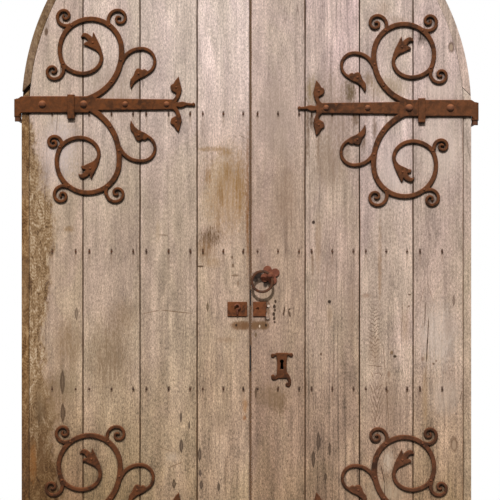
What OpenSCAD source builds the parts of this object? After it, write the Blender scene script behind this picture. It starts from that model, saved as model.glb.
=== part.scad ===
// Pair of arched plank doors with scrolled strap hinges, pull ring, keyhole plate and rim lock.
// Millimetres, +Z up, the viewer stands at -Y. The origin is under the middle of the pair.

/* [Doorway] */
// Width over both leaves
pair_w = 1485; // [1300:1:1700]
// Height of the springing line above the foot
spring_h = 1782; // [1650:1:2000]
// How far past the middle each arch centre lies
arch_shift = 80; // [40:1:160]
// Distance of the meeting line from the middle
meeting_x = 13; // [4:1:22]
// Gap between the two leaves
meeting_gap = 5; // [4:0.5:9]

/* [Boards] */
// Thickness of the boards
board_t = 40; // [34:1:50]
// Open joint between two boards
board_gap = 3; // [2:0.5:5]
// How far the back half of a board laps behind the next board
lap_w = 12; // [8:1:18]
// Width of the edge strips
edge_w = 26; // [20:1:32]
// How far the edge strips lie behind the face of the boards
edge_recess = 3; // [2:0.5:4]
// Joint between the edge strips and the boards
strip_gap = 0.8; // [0.5:0.1:0.9]
// Height of the slanting strip joint above the middle of the upper strap
strip_cut_rise = 41; // [36:1:60]
// Height of the broken joint in the left strip
left_break = 18; // [8:1:24]
// Height of the sound joint in the right strip
right_break = 2; // [1:0.5:6]

/* [Ledges and nails] */
// Height of a ledge
ledge_h = 110; // [90:1:112]
// Thickness of a ledge
ledge_t = 32; // [24:1:38]
// Height of the lowest ledge's middle
ledge_first_z = 407; // [380:1:420]
// Distance from one ledge to the next below the arch
ledge_pitch = 454; // [445:1:456]
// Room round the fittings that a ledge is notched for
notch_gap = 1; // [0.5:0.5:2]
// Distance of a ledge's end from the hanging edge
ledge_edge = 8; // [6:1:12]
// Distance of a ledge's end from the meeting edge
ledge_meeting = 30; // [20:1:60]
// Diameter of a nail head
nail_d = 7; // [5:0.5:7.5]
// Height of a nail head
nail_h = 1.6; // [1:0.1:3]

/* [Strap hinges] */
// Height of the upper left strap's middle
upper_hinge_z = 1800; // [1795:1:1820]
// How much lower the upper right strap sits
upper_right_drop = 12; // [0:1:16]
// Height of the lower straps' middle
lower_hinge_z = 429; // [380:1:460]
// Height of the strap at its root
strap_h = 54; // [46:1:54]
// Thickness of the iron
strap_t = 7; // [5:0.5:9]
// Length from the barrel's axis to the end of the strap
strap_l = 525; // [510:1:545]
// Length from the barrel's axis to where the scrolls leave the strap
split_u = 236; // [232:1:242]
// Height of the strap where the scrolls leave it
strap_mid_h = 40; // [34:1:44]
// Height of the strap at its end
strap_end_h = 33; // [26:1:36]
// Diameter of the rolled barrel
barrel_d = 24; // [22:1:28]
// Height of the barrel
barrel_h = 59; // [50:1:66]
// How much lower than the strap the barrel sits
barrel_drop = 11; // [8:1:16]
// Space between the barrel and the leaf's edge
barrel_gap = 1; // [1:0.5:3]
// Length over which the strap steps back to the edge strip
joggle_l = 14; // [8:1:18]

/* [Scrolls] */
// Radius of the scroll above the strap
upper_scroll_r = 102; // [96:1:105]
// Distance of the upper scroll's centre from the barrel's axis
upper_scroll_u = 242; // [238:1:250]
// Distance of the upper scroll's centre from the strap's middle
upper_scroll_h = 180; // [176:1:190]
// Radius of the scroll below the strap
lower_scroll_r = 103; // [98:1:107]
// Distance of the lower scroll's centre from the barrel's axis
lower_scroll_u = 233; // [230:1:248]
// Distance of the lower scroll's centre from the strap's middle
lower_scroll_h = 188; // [184:1:196]
// Width of the scroll's bar at the strap
scroll_w = 18; // [15:0.5:20]
// Width of the scroll's bar at the dragon's neck
scroll_tip_w = 11; // [9:0.5:13]
// Width of a volute's bar at its root
volute_w = 11; // [9:0.5:12]
// Width of a volute's bar at its end
volute_tip_w = 6; // [5:0.5:7]
// Width of the side branch at its root
branch_w = 12; // [9:0.5:13]
// Width of the side branch at its leaf
branch_tip_w = 9; // [7:0.5:10]
// Length of the dragon's head
dragon_l = 66; // [58:1:70]
// Length of the branch's leaf head
leaf_head_l = 66; // [56:1:70]
// Reach of the two leaves at the strap's end
end_leaf_l = 92; // [80:1:98]
// How far the right straps' end leaves sit back from the end
right_leaf_back = 7; // [0:1:10]
// Length of the finial
finial_l = 56; // [46:1:60]

/* [Collars, bolts and rivets] */
// Distance of the collar from the barrel's axis
collar_u = 166; // [150:1:185]
// Width of the collar
collar_w = 23; // [16:1:26]
// Thickness of the collar over the strap
collar_t = 5; // [3:0.5:7]
// How far the collar passes the strap's upper edge
collar_over = 5; // [4:0.5:10]
// How far the collar's tail passes the strap's lower edge
collar_tail = 21; // [10:1:28]
// Clearance of the strap in the collar
collar_clear = 0.3; // [0.2:0.1:0.6]
// Diameter of the two root bolts
bolt_d = 26; // [20:1:28]
// Height of the root bolts' domes
bolt_dome_h = 9; // [6:0.5:12]
// Diameter of the two end bolts
end_bolt_d = 20; // [16:1:24]
// Height of the end bolts' domes
end_bolt_dome_h = 7; // [4:0.5:9]
// Diameter of a scroll rivet
rivet_d = 9; // [7:0.5:10]
// Height of a scroll rivet
rivet_h = 3; // [2:0.5:4]

/* [Jamb hooks] */
// Diameter of the pin
pin_d = 12; // [10:0.5:13]
// Radial clearance of the pin in the barrel
pin_clear = 0.3; // [0.1:0.05:0.6]
// How far the pin stands above the barrel
pin_top = 2; // [1:0.5:6]
// Space between the barrel's foot and the knee
seat_gap = 0.3; // [0.2:0.1:0.6]
// Diameter of the knee under the barrel
knee_d = 20; // [18:1:22]
// Height of the knee
knee_h = 14; // [13:0.5:18]
// Diameter of the shank that goes into the jamb
shank_d = 12; // [10:0.5:12.5]
// Length of the shank behind the knee
shank_l = 70; // [66:1:110]

/* [Pull ring] */
// Distance of the boss from the middle of the pair
ring_x = 78; // [77:1:90]
// Height of the boss
ring_z = 1237; // [1232:1:1240]
// Radius of the ring's centre line
ring_r = 33.5; // [30:0.5:34]
// Diameter of the ring's bar
ring_bar_d = 9; // [7:0.5:9.5]
// Distance of the eye from the face of the boards
eye_h = 30; // [27:1:40]
// Radius of the eye's ball
eye_r = 11; // [10:0.5:13]
// Thickness of the eye along its hole
eye_t = 14; // [10:0.5:15]
// Clearance of the ring in the eye
eye_clear = 0.3; // [0.2:0.1:0.6]
// Diameter of the boss's foot
boss_d = 26; // [22:1:30]
// Thickness of the boss's foot
boss_t = 4; // [3:0.5:6]
// Diameter of the boss's neck
neck_d = 15; // [12:0.5:18]
// Diameter of the boss's bolt
boss_bolt_d = 12; // [9:0.5:14]
// Clearance of the bolt in the board
bolt_clear = 0.3; // [0.2:0.1:0.6]
// Thickness of the rosette
rosette_t = 5; // [3:0.5:7]
// Radius of a rosette lobe
lobe_r = 14; // [12:0.5:16]
// Distance of a lobe from the boss's axis
lobe_reach_r = 19; // [15:0.5:20]
// Width of the rove plate
rove_w = 30; // [24:1:34]
// Thickness of the rove plate
rove_t = 4; // [3:0.5:6]
// Height of the clenched bolt end
clench_h = 3; // [2:0.5:5]
// Diameter of the clenched bolt end
clench_d = 20; // [16:1:22]

/* [Keyhole plate] */
// Distance of the keyhole from the middle of the pair
key_x = 117; // [105:1:130]
// Height of the keyhole's round
key_z = 952; // [951:1:962]
// Radius of the keyhole's round
key_r = 6.4; // [5:0.1:8]
// Width of the keyhole's slot at its neck
key_neck_w = 7; // [5.5:0.5:9]
// Width of the keyhole's slot at its foot
key_foot_w = 11; // [8:0.5:13]
// Depth of the slot under the round's middle
key_drop = 26; // [20:1:28]
// How much wider the hole in the board is
key_margin = 1; // [0.5:0.1:2]
// Thickness of the plate
plate_t = 4; // [3:0.5:6]
// Height of the plate above the round's middle
plate_up = 29; // [22:1:36]
// Depth of the plate below the round's middle
plate_down = 55; // [46:1:60]
// Width of the plate at its waist
waist_w = 31; // [26:1:36]
// Width of the plate at its ends
plate_w = 40; // [37:1:46]
// Reach of the plate's scrolled corners
corner_l = 30; // [24:1:34]
// Width of the corner scrolls' bar
corner_w = 7; // [6:0.5:8]
// Radius of the beads that end the scrolls
bead_r = 6.5; // [5:0.5:8]

/* [Hasp plates] */
// Distance of the left plate's middle from the middle of the pair
left_hasp_x = -30; // [-60:1:-28]
// Distance of the right plate's middle from the middle of the pair
right_hasp_x = 45; // [43:1:60]
// Height of the plates' middle
hasp_z = 1125; // [1115:1:1130]
// Width of the left plate
left_hasp_w = 65; // [50:1:68]
// Width of the right plate
right_hasp_w = 46; // [40:1:50]
// Height of the plates
hasp_h = 48; // [40:1:56]
// Thickness of the plates
hasp_t = 4; // [3:0.5:6]
// Diameter of the staple's bar
staple_d = 6; // [4:0.5:7]
// Radius of the staple's bend
staple_r = 8; // [7:0.5:10]
// Length of the staple's stem
staple_l = 16; // [10:1:18]
// How far the staple stands off its plate
staple_h = 7; // [5:0.5:10]
// Diameter of the peg
peg_d = 5; // [4:0.5:6]
// Length of the peg
peg_l = 15; // [8:1:20]
// Diameter of a broken screw
screw_d = 9; // [7:0.5:10]
// Height of a broken screw
screw_h = 4; // [2:0.5:6]

/* [Rim lock] */
// Length of the lock case
lock_l = 170; // [150:1:200]
// Depth of the lock case behind the boards
lock_t = 42; // [36:1:44]
// Wall of the lock case
lock_wall = 4; // [3:0.5:5]
// Distance of the case and the keep from the meeting edges
lock_edge = 6; // [6:0.5:10]
// Depth of the case below the keyhole's round
lock_down = 34; // [32:1:35]
// Height of the case above the keyhole's round
lock_up = 60; // [52:1:66]
// Height of the bolt
bar_h = 24; // [18:1:26]
// Thickness of the bolt
bar_t = 14; // [10:1:16]
// Length of the bolt
bar_l = 112; // [104:1:118]
// Height of the bolt above the keyhole's round
bar_rise = 33; // [28:1:36]
// Distance of the bolt behind the boards
bar_back = 11; // [9:0.5:14]
// Clearance of the bolt in its guides
bar_clear = 0.3; // [0.2:0.1:0.6]
// Distance of the inner guide from the case's end
guide_in = 66; // [60:1:80]
// Length of the keep
keep_l = 62; // [50:1:70]
// Wall of the keep
keep_wall = 5; // [4:0.5:7]
// Room round the bolt in the keep
keep_room = 3; // [2:0.5:5]

/* [Hidden] */
$fn = 64;

oak = "#b8a596";
dark_oak = "#a08468";
iron = "#5c3a28";
rust = "#7a3f28";
old_steel = "#b59a86";

LEFT = -1;
RIGHT = 1;
ledge_rows = 5;
cut = 1;

// Widths of the boards as shares of their leaf, from the hanging edge to the meeting edge
left_board_shares = [0.27, 0.25, 0.25, 0.23];
right_board_shares = [0.265, 0.243, 0.247, 0.245];
// Places of the nails across a board
nail_shares = [0.11, 0.5, 0.88];
// Height of the top ledge's middle as a share of the arch's rise
top_ledge_share = 0.54;

arch_r = pair_w / 2 + arch_shift;
door_h = spring_h + sqrt(arch_r * arch_r - arch_shift * arch_shift);
edge_clear = barrel_d / 2 + barrel_gap;
hinge_x = pair_w / 2 + edge_clear;
axis_y = barrel_d / 2 - strap_t + edge_recess;
front_reach = eye_h + eye_r;
back_reach = axis_y + knee_d / 2 + shank_l;
front_y = (front_reach - back_reach) / 2;

// Polar shape of the large scroll: it leaves the strap wide, runs round and winds in to the dragon's neck
scroll_start = -100;
scroll_end = 350;
wind_start = 208;
upper_rise_share = 0.66;
lower_left_rise_share = 0.88;
lower_right_rise_share = 0.78;
wind_share = 0.705;
scroll_step = 8;
// The upper scrolls differ a little from hinge to hinge: radius and centre of the upper left, upper right,
// lower left and lower right one as shares of the first
forging_shares = [[1, 1, 1], [0.975, 0.975, 0.986], [0.995, 0.983, 0.992], [0.966, 0.971, 0.975]];
// Volutes: place of the centre and first radius as shares of the large scroll, and the angle they start at.
// The two far ones are alike on every scroll, the one near the strap is not
far_volute_shares = [[-0.83, 1.09, 0.335], [0.92, 1.01, 0.375]];
far_starts = [-56, 216];
upper_near_shares = [-1.21, -0.68, 0.36];
lower_left_near_shares = [-1.1, -0.6, 0.27];
lower_right_near_shares = [-1.19, -0.6, 0.27];
near_starts = [38, 22];
volute_end_share = 0.043;
volute_turn = 546;
volute_tightness = 1.45;
volute_step = 14;
// Side branch: place of its centre as shares of the large scroll and extra reach at its root, then its radius
upper_branch_shares = [1.661, -0.371, 0.58];
lower_left_branch_shares = [1.735, -0.43, 0.74];
lower_right_branch_shares = [1.63, -0.415, 0.58];
branch_r_share = 0.413;
branch_start = 182;
branch_end = -62;
branch_step = 9;

// Outlines as shares of their own length, from the neck outwards
dragon_shares = [
    [0.13, -0.12], [0.1, 0.08], [-0.01, 0.37], [-0.305, 0.965], [-0.37, 0.695], [-0.465, 0.80],
    [-0.60, 0.895], [-0.74, 0.93], [-0.845, 0.885], [-0.915, 0.775], [-0.925, 0.68], [-0.875, 0.72],
    [-0.765, 0.72], [-0.67, 0.655], [-0.60, 0.56], [-0.55, 0.51], [-0.63, 0.475], [-0.74, 0.45],
    [-0.78, 0.38], [-0.78, 0.30], [-0.655, 0.29], [-0.465, 0.195], [-0.25, 0.10], [-0.14, 0.03],
    [-0.085, -0.045], [-0.03, -0.1]
];
leaf_head_shares = [
    [-0.03, 0.08], [-0.1, 0.14], [-0.175, 0.175], [-0.23, 0.165], [-0.285, 0.12], [-0.36, 0.175],
    [-0.47, 0.21], [-0.56, 0.19], [-0.65, 0.065], [-0.725, -0.155], [-0.875, -0.34], [-0.91, -0.56],
    [-0.855, -0.815], [-0.79, -0.675], [-0.65, -0.475], [-0.45, -0.32], [-0.15, -0.19], [0.045, -0.05]
];
end_leaf_shares = [
    [0, 0.1], [0.089, 0.232], [0.157, 0.404], [0.186, 0.561], [0.114, 0.839], [0.079, 0.993],
    [-0.043, 0.857], [-0.104, 0.743], [-0.186, 0.704], [-0.221, 0.639], [-0.182, 0.507], [-0.125, 0.464],
    [0, 0.404], [-0.02, 0.32], [-0.06, 0.24], [-0.129, 0.179], [-0.25, 0.17], [-0.25, 0.05]
];
finial_shares = [
    [-0.1, -0.13], [0, -0.13], [0.27, -0.19], [0.58, -0.06], [0.75, -0.08], [0.97, -0.06],
    [0.97, 0.05], [0.65, 0.09], [0.35, 0.17], [0.1, 0.12], [-0.1, 0.13]
];
finial_ball_share = 0.1;
dragon_eye_share = [-0.34, 0.43];
leaf_eye_share = [-0.47, -0.06];
end_leaf_eye_share = [-0.01, 0.61];
// Rivets along the large scroll, as angles
scroll_rivets = [-57, -19, 52, 128, 207];
// Bolts as shares of the way to the collar, from it to the scrolls, and from the scrolls to the end
root_bolt_share = 0.5;
collar_bolt_share = 0.638;
end_bolt_shares = [0.415, 0.8875];

function mix(a, b, t) = a + (b - a) * t;
function polar(r, a) = [r * cos(a), r * sin(a)];
function unit(v) = v / norm(v);
function heading(p, i) = unit(p[min(i + 1, len(p) - 1)] - p[max(i - 1, 0)]);
function sideways(p, i) = let (t = heading(p, i)) [-t[1], t[0]];

// A scroll is held as its radius, the place of its centre, its rise from the strap, its volutes and branch
function hinge_number(side, high) = (high ? 0 : 2) + (side == RIGHT ? 1 : 0);
function upper_scroll(side, high) = let (f = forging_shares[hinge_number(side, high)]) [
    upper_scroll_r * f[0], [upper_scroll_u * f[1], upper_scroll_h * f[2]], upper_rise_share,
    concat(far_volute_shares, [upper_near_shares]), concat(far_starts, [near_starts[0]]),
    upper_branch_shares];
function lower_scroll(side) = [
    lower_scroll_r, [lower_scroll_u, lower_scroll_h],
    side == LEFT ? lower_left_rise_share : lower_right_rise_share,
    concat(far_volute_shares, [side == LEFT ? lower_left_near_shares : lower_right_near_shares]),
    concat(far_starts, [near_starts[1]]),
    side == LEFT ? lower_left_branch_shares : lower_right_branch_shares];
function end_leaf_u(side) = strap_l - (side == RIGHT ? right_leaf_back : 0);

function scroll_radius(scroll, a) = 1
    + scroll[2] * pow(max(0, a / scroll_start), 1.8)
    - wind_share * pow(max(0, (a - wind_start) / (scroll_end - wind_start)), 1.1);
function scroll_point(scroll, a) = scroll[1] + polar(scroll[0] * scroll_radius(scroll, a), a);
function scroll_path(scroll) = let (n = ceil((scroll_end - scroll_start) / scroll_step))
    [for (i = [0 : n]) scroll_point(scroll, mix(scroll_start, scroll_end, i / n))];
function volute_path(scroll, k) = let (s = scroll[3][k], n = ceil(volute_turn / volute_step))
    [for (i = [0 : n]) scroll[1] + scroll[0] * ([s[0], s[1]] + polar(
        mix(volute_end_share, s[2], pow(1 - i / n, volute_tightness)),
        scroll[4][k] - volute_turn * i / n))];
function branch_radius(scroll, a) = branch_r_share
    * (1 + scroll[5][2] * pow(max(0, (a - 90) / (branch_start - 90)), 1.8));
function branch_path(scroll) = let (n = ceil((branch_start - branch_end) / branch_step))
    [for (i = [0 : n]) let (a = mix(branch_start, branch_end, i / n))
        scroll[1] + scroll[0] * ([scroll[5][0], scroll[5][1]] + polar(branch_radius(scroll, a), a))];
function branch_tip(scroll) = let (p = branch_path(scroll)) p[len(p) - 1];
function neck_tip(scroll) = scroll_point(scroll, scroll_end);

// Edges of the leaves and of their boards, from the hanging edge to the meeting edge
function meeting_edge(side) = meeting_x + side * meeting_gap / 2;
function hanging_edge(side) = side * pair_w / 2;
function board_share(side, k) = side == LEFT ? left_board_shares[k] : right_board_shares[k];
function share_before(side, k) = k == 0 ? 0 : share_before(side, k - 1) + board_share(side, k - 1);
function board_line(side, k) = mix(hanging_edge(side), meeting_edge(side), share_before(side, k));
function board_start(side, k) = board_line(side, k) - (k == 0 ? 0 : side * board_gap / 2);
function board_end(side, k) = board_line(side, k + 1) + (k == 3 ? 0 : side * board_gap / 2);
function hinge_z(side, high) = !high ? lower_hinge_z
    : upper_hinge_z - (side == RIGHT ? upper_right_drop : 0);
function strip_joint_z(side) = hinge_z(side, true) + strip_cut_rise;
function strip_break(side) = side == LEFT ? left_break : right_break;
function ledge_z(row) = row < ledge_rows - 1
    ? ledge_first_z + row * ledge_pitch
    : spring_h + top_ledge_share * (door_h - spring_h);

// A flat outline drawn in x and z, made solid from one depth to another behind the boards' face
module slab(from, to) {
    translate([0, front_y + to, 0]) rotate([90, 0, 0]) linear_extrude(to - from) children();
}

// Something drawn along +Z, turned to stand out towards the viewer from a point on a face
module standing_out(x, z, depth) {
    translate([x, front_y + depth, z]) rotate([90, 0, 0]) children();
}

// A bar of tapering width along a path
module stroke(path, w0, w1) {
    n = len(path) - 1;
    near = [for (i = [0 : n]) path[i] - sideways(path, i) * mix(w0, w1, i / n) / 2];
    far = [for (i = [n : -1 : 0]) path[i] + sideways(path, i) * mix(w0, w1, i / n) / 2];
    polygon(concat(near, far));
}

// Outline of the whole pair, drawn in from the edge all round but at the foot
module arch_shape(inset) {
    translate([-pair_w / 2 + inset, 0]) square([pair_w - 2 * inset, spring_h]);
    intersection() {
        translate([arch_shift, spring_h]) circle(arch_r - inset, $fn = 720);
        translate([-arch_shift, spring_h]) circle(arch_r - inset, $fn = 720);
        translate([-pair_w / 2, spring_h]) square([pair_w, door_h - spring_h]);
    }
}

// Everything between two x positions
module band(x0, x1) {
    translate([min(x0, x1), 0]) square([abs(x1 - x0), door_h]);
}

module dome(d, h) {
    ball_r = (d * d / 4 + h * h) / (2 * h);
    rotate_extrude() intersection() {
        translate([0, h - ball_r]) circle(ball_r);
        square([d / 2, h]);
    }
}

module keyhole_shape(margin) {
    circle(key_r + margin);
    polygon([
        [-key_neck_w / 2 - margin, 0], [-key_foot_w / 2 - margin, -key_drop - margin],
        [key_foot_w / 2 + margin, -key_drop - margin], [key_neck_w / 2 + margin, 0]]);
}

// One half of a board's thickness, moved towards the meeting edge by the lap
module board_shape(side, k, lap) {
    difference() {
        intersection() {
            arch_shape(edge_w + strip_gap);
            band(
                board_start(side, k) - (k == 0 ? 0 : side * lap),
                board_end(side, k) - (k == 3 ? 0 : side * lap));
        }
        if (side == RIGHT && k == 3) {
            translate([key_x, key_z]) keyhole_shape(key_margin);
            translate([ring_x, ring_z]) circle(boss_bolt_d / 2 + bolt_clear);
        }
    }
}

module board(side, k) {
    color(oak) union() {
        slab(0, board_t / 2) board_shape(side, k, 0);
        slab(board_t / 2, board_t) board_shape(side, k, lap_w);
    }
}

// The part of a hanging edge that lies below a joint slanting up and in at 45 degrees
module below_joint(side, z) {
    x = pair_w / 2;
    polygon([
        [side * (x + edge_w), 0], [side * (x - 2 * edge_w), 0],
        [side * (x - 2 * edge_w), z + 2 * edge_w], [side * (x + edge_w), z - edge_w]]);
}

module leaf_rim(side) {
    intersection() {
        difference() {
            arch_shape(0);
            arch_shape(edge_w);
        }
        band(side * pair_w, meeting_edge(side));
    }
}

// The joint's break is open in front only: the back half of the arch strip laps behind it
module arch_strip_shape(side, joint_z) {
    difference() {
        leaf_rim(side);
        below_joint(side, joint_z);
    }
}

module arch_strip(side) {
    color(dark_oak) union() {
        slab(edge_recess, board_t / 2) arch_strip_shape(side, strip_joint_z(side));
        slab(board_t / 2, board_t)
            arch_strip_shape(side, strip_joint_z(side) - strip_break(side) + strip_gap);
    }
}

module edge_strip(side) {
    color(dark_oak) slab(edge_recess, board_t) intersection() {
        leaf_rim(side);
        below_joint(side, strip_joint_z(side) - strip_break(side));
    }
}

// What a ledge makes room for: the lock and the ring's rove on the right leaf, the keep on the left one
module fittings_shape(side) {
    if (side == RIGHT) {
        translate([lock_x - notch_gap, key_z - lock_down - notch_gap])
            square([lock_l + 2 * notch_gap, lock_down + lock_up + 2 * notch_gap]);
        translate([ring_x, ring_z]) square(rove_w + 2 * notch_gap, center = true);
    } else {
        translate([keep_x - notch_gap, bar_z - keep_h / 2 - notch_gap])
            square([keep_l + 2 * notch_gap, keep_h + 2 * notch_gap]);
    }
}

module ledge(side, row) {
    color(dark_oak) slab(board_t, board_t + ledge_t) difference() {
        intersection() {
            arch_shape(ledge_edge);
            band(side * pair_w, meeting_edge(side) + side * ledge_meeting);
            translate([-pair_w, ledge_z(row) - ledge_h / 2]) square([2 * pair_w, ledge_h]);
        }
        fittings_shape(side);
    }
}

// Half width of the boards at a height
function half_width(z) = z < spring_h
    ? pair_w / 2 - edge_w
    : sqrt(pow(arch_r - edge_w, 2) - pow(z - spring_h, 2)) - arch_shift;
// Whether a nail would lie under the iron of a hinge: its strap, its end, or one of its scrolls
function near_path(p, path, reach) = min([for (q = path) norm(p - q)]) < reach;
function under_scroll(p, scroll) = near_path(p, concat(
    scroll_path(scroll), branch_path(scroll),
    [for (k = [0 : len(scroll[3]) - 1]) each volute_path(scroll, k)]), scroll_w / 2 + nail_d)
    || norm(p - neck_tip(scroll) - dragon_eye_share * dragon_l) < dragon_l / 2 + nail_d
    || norm(p - branch_tip(scroll) - leaf_eye_share * leaf_head_l) < leaf_head_l / 2 + nail_d;
function under_hinge(side, high, x, z) = let (
        u = hinge_x - abs(x),
        v = z - hinge_z(side, high))
    abs(v) < (u < split_u ? strap_h : strap_mid_h) / 2 + nail_d && u < strap_l + finial_l
    || abs(v) < end_leaf_l && abs(u - strap_l) < end_leaf_l / 4 + nail_d
    || under_scroll([u, abs(v)], v > 0 ? upper_scroll(side, high) : lower_scroll(side));

module nails(side) {
    color(iron) for (row = [0 : ledge_rows - 1], k = [0 : 3], s = nail_shares) {
        x = mix(board_line(side, k), board_line(side, k + 1), s);
        z = ledge_z(row);
        hidden = under_hinge(side, true, x, z) || under_hinge(side, false, x, z);
        if (!hidden && abs(x) < half_width(z) - nail_d)
            standing_out(x, z, 0) dome(nail_d, nail_h);
    }
}

// Moves a hinge piece drawn from its barrel's axis to its place, mirrored on the right leaf
module at_hinge(side, high) {
    translate([side * hinge_x, 0, hinge_z(side, high)]) mirror([side == RIGHT ? 1 : 0, 0, 0]) children();
}

module scroll_shape(scroll) {
    stroke(scroll_path(scroll), scroll_w, scroll_tip_w);
    for (k = [0 : len(scroll[3]) - 1]) stroke(volute_path(scroll, k), volute_w, volute_tip_w);
    stroke(branch_path(scroll), branch_w, branch_tip_w);
    translate(neck_tip(scroll)) polygon(dragon_shares * dragon_l);
    translate(branch_tip(scroll)) polygon(leaf_head_shares * leaf_head_l);
}

module end_leaf_shape(side) {
    translate([end_leaf_u(side), 0]) polygon(end_leaf_shares * end_leaf_l);
}

module strap_shape(side, high) {
    root_u = edge_clear + edge_w;
    polygon([
        [root_u, -strap_h / 2], [split_u, -strap_h / 2],
        [split_u, -strap_mid_h / 2], [strap_l, -strap_end_h / 2],
        [strap_l, strap_end_h / 2], [split_u, strap_mid_h / 2],
        [split_u, strap_h / 2], [root_u, strap_h / 2]]);
    translate([strap_l, 0]) {
        polygon(finial_shares * finial_l);
        translate([finial_l, 0]) circle(finial_ball_share * finial_l);
    }
    scroll_shape(upper_scroll(side, high));
    end_leaf_shape(side);
    mirror([0, 1]) {
        scroll_shape(lower_scroll(side));
        end_leaf_shape(side);
    }
}

// The strap seen from above between the barrel and the boards, stepping back over the edge strip
module joggle_plan() {
    end_u = edge_clear + edge_w;
    start_u = end_u - joggle_l;
    polygon([
        [edge_clear, edge_recess - strap_t], [start_u, edge_recess - strap_t], [end_u, -strap_t],
        [end_u, 0], [start_u, edge_recess], [edge_clear, edge_recess]]);
}

module hinge(side, high) {
    barrel_foot = -barrel_drop - barrel_h / 2;
    barrel_head = barrel_foot + barrel_h;
    color(iron) at_hinge(side, high) difference() {
        union() {
            slab(-strap_t, 0) strap_shape(side, high);
            translate([0, front_y, -strap_h / 2]) linear_extrude(strap_h) joggle_plan();
            slab(edge_recess - strap_t, edge_recess) polygon([
                [0, barrel_foot], [0, barrel_head], [edge_clear, strap_h / 2], [edge_clear, -strap_h / 2]]);
            translate([0, front_y + axis_y, barrel_foot]) cylinder(d = barrel_d, h = barrel_h);
        }
        translate([0, front_y + axis_y, barrel_foot - cut])
            cylinder(d = pin_d + 2 * pin_clear, h = barrel_h + pin_top + 2 * cut);
    }
}

module collar(side, high) {
    top = strap_h / 2 + collar_over;
    foot = -strap_h / 2 - collar_tail;
    color(iron) at_hinge(side, high) translate([collar_u, front_y, 0]) difference() {
        translate([0, -strap_t - collar_t, foot]) cube([collar_w, strap_t + collar_t, top - foot]);
        translate([-cut, -strap_t, -strap_h / 2 - collar_clear])
            cube([collar_w + 2 * cut, strap_t + cut, strap_h + 2 * collar_clear]);
    }
}

module bolts(side, high) {
    color(iron) at_hinge(side, high) {
        for (u = [root_bolt_share * collar_u, mix(collar_u + collar_w, split_u, collar_bolt_share)])
            standing_out(u, 0, -strap_t) dome(bolt_d, bolt_dome_h);
        for (s = end_bolt_shares)
            standing_out(mix(split_u, strap_l, s), 0, -strap_t) dome(end_bolt_d, end_bolt_dome_h);
    }
}

function rivet_places(side, scroll) = concat(
    [for (a = scroll_rivets) scroll_point(scroll, a)],
    [neck_tip(scroll) + dragon_eye_share * dragon_l],
    [branch_tip(scroll) + leaf_eye_share * leaf_head_l],
    [[end_leaf_u(side), 0] + end_leaf_eye_share * end_leaf_l]);

module rivets(side, high) {
    color(iron) at_hinge(side, high) {
        for (p = rivet_places(side, upper_scroll(side, high)))
            standing_out(p[0], p[1], -strap_t) dome(rivet_d, rivet_h);
        for (p = rivet_places(side, lower_scroll(side)))
            standing_out(p[0], -p[1], -strap_t) dome(rivet_d, rivet_h);
    }
}

module pintle(side, high) {
    seat = -barrel_drop - barrel_h / 2 - seat_gap;
    color(iron) at_hinge(side, high) translate([0, front_y + axis_y, seat]) {
        cylinder(d = pin_d, h = barrel_h + seat_gap + pin_top);
        translate([0, 0, -knee_h]) {
            cylinder(d = knee_d, h = knee_h);
            translate([-knee_d / 2, 0, 0]) cube([knee_d, knee_d / 2, knee_h]);
        }
        translate([0, knee_d / 2, -knee_h / 2]) rotate([-90, 0, 0]) cylinder(d = shank_d, h = shank_l);
    }
}

// The ring hangs to the lower left: this is the way from its eye to its middle
ring_turn = 218;
eye_lean = asin(eye_t / 2 / ring_r);
eye_hole_r = ring_bar_d / 2 / cos(eye_lean) + ring_r * (1 - cos(eye_lean)) + eye_clear;
rosette_turn = 26;

module ring_rosette() {
    color(rust) slab(-rosette_t, 0) translate([ring_x, ring_z]) difference() {
        union() {
            circle(lobe_reach_r);
            for (a = [0 : 90 : 270]) translate(polar(lobe_reach_r, rosette_turn + a)) circle(lobe_r);
        }
        circle(boss_bolt_d / 2 + bolt_clear);
    }
}

module ring_boss() {
    color(rust) difference() {
        union() {
            standing_out(ring_x, ring_z, -rosette_t) cylinder(d = boss_d, h = boss_t);
            standing_out(ring_x, ring_z, -rosette_t) cylinder(d = neck_d, h = eye_h - rosette_t);
            standing_out(ring_x, ring_z, board_t + rove_t)
                cylinder(d = boss_bolt_d, h = board_t + rove_t + rosette_t);
            standing_out(ring_x, ring_z, board_t + rove_t + clench_h) cylinder(d = clench_d, h = clench_h);
            at_eye() intersection() {
                sphere(eye_r);
                translate([-eye_r, -eye_r, -eye_t / 2]) cube([2 * eye_r, 2 * eye_r, eye_t]);
            }
        }
        at_eye() translate([0, 0, -eye_r - cut]) cylinder(r = eye_hole_r, h = 2 * (eye_r + cut));
    }
}

// At the eye, with x pointing to the ring's middle and z along the hole
module at_eye() {
    translate([ring_x, front_y - eye_h, ring_z]) rotate([0, -ring_turn, 0]) children();
}

module ring_rove() {
    color(rust) slab(board_t, board_t + rove_t) translate([ring_x, ring_z]) difference() {
        square(rove_w, center = true);
        circle(boss_bolt_d / 2 + bolt_clear);
    }
}

module pull_ring() {
    color(iron) at_eye() translate([ring_r, 0, 0]) rotate([90, 0, 0])
        rotate_extrude() translate([ring_r, 0]) circle(d = ring_bar_d);
}

// Corner scrolls of the keyhole plate: beads and the curves to them, as shares of the corners' reach
bead_shares = [[-1, 0.66], [1.02, 0.72], [-0.98, -1.64], [0.62, -2.52]];
arm_shares = [[[-0.3, 0.76], [-1, 0.74]], [[0.3, 0.76], [1.02, 0.8]]];
leg_shares = [
    [[-0.25, -1.2], [-0.5, -1.8], [-0.85, -2.02], [-1.1, -1.8]],
    [[0.25, -1.2], [0.9, -1.7], [1.02, -2.55], [0.66, -2.7]]
];

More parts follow.
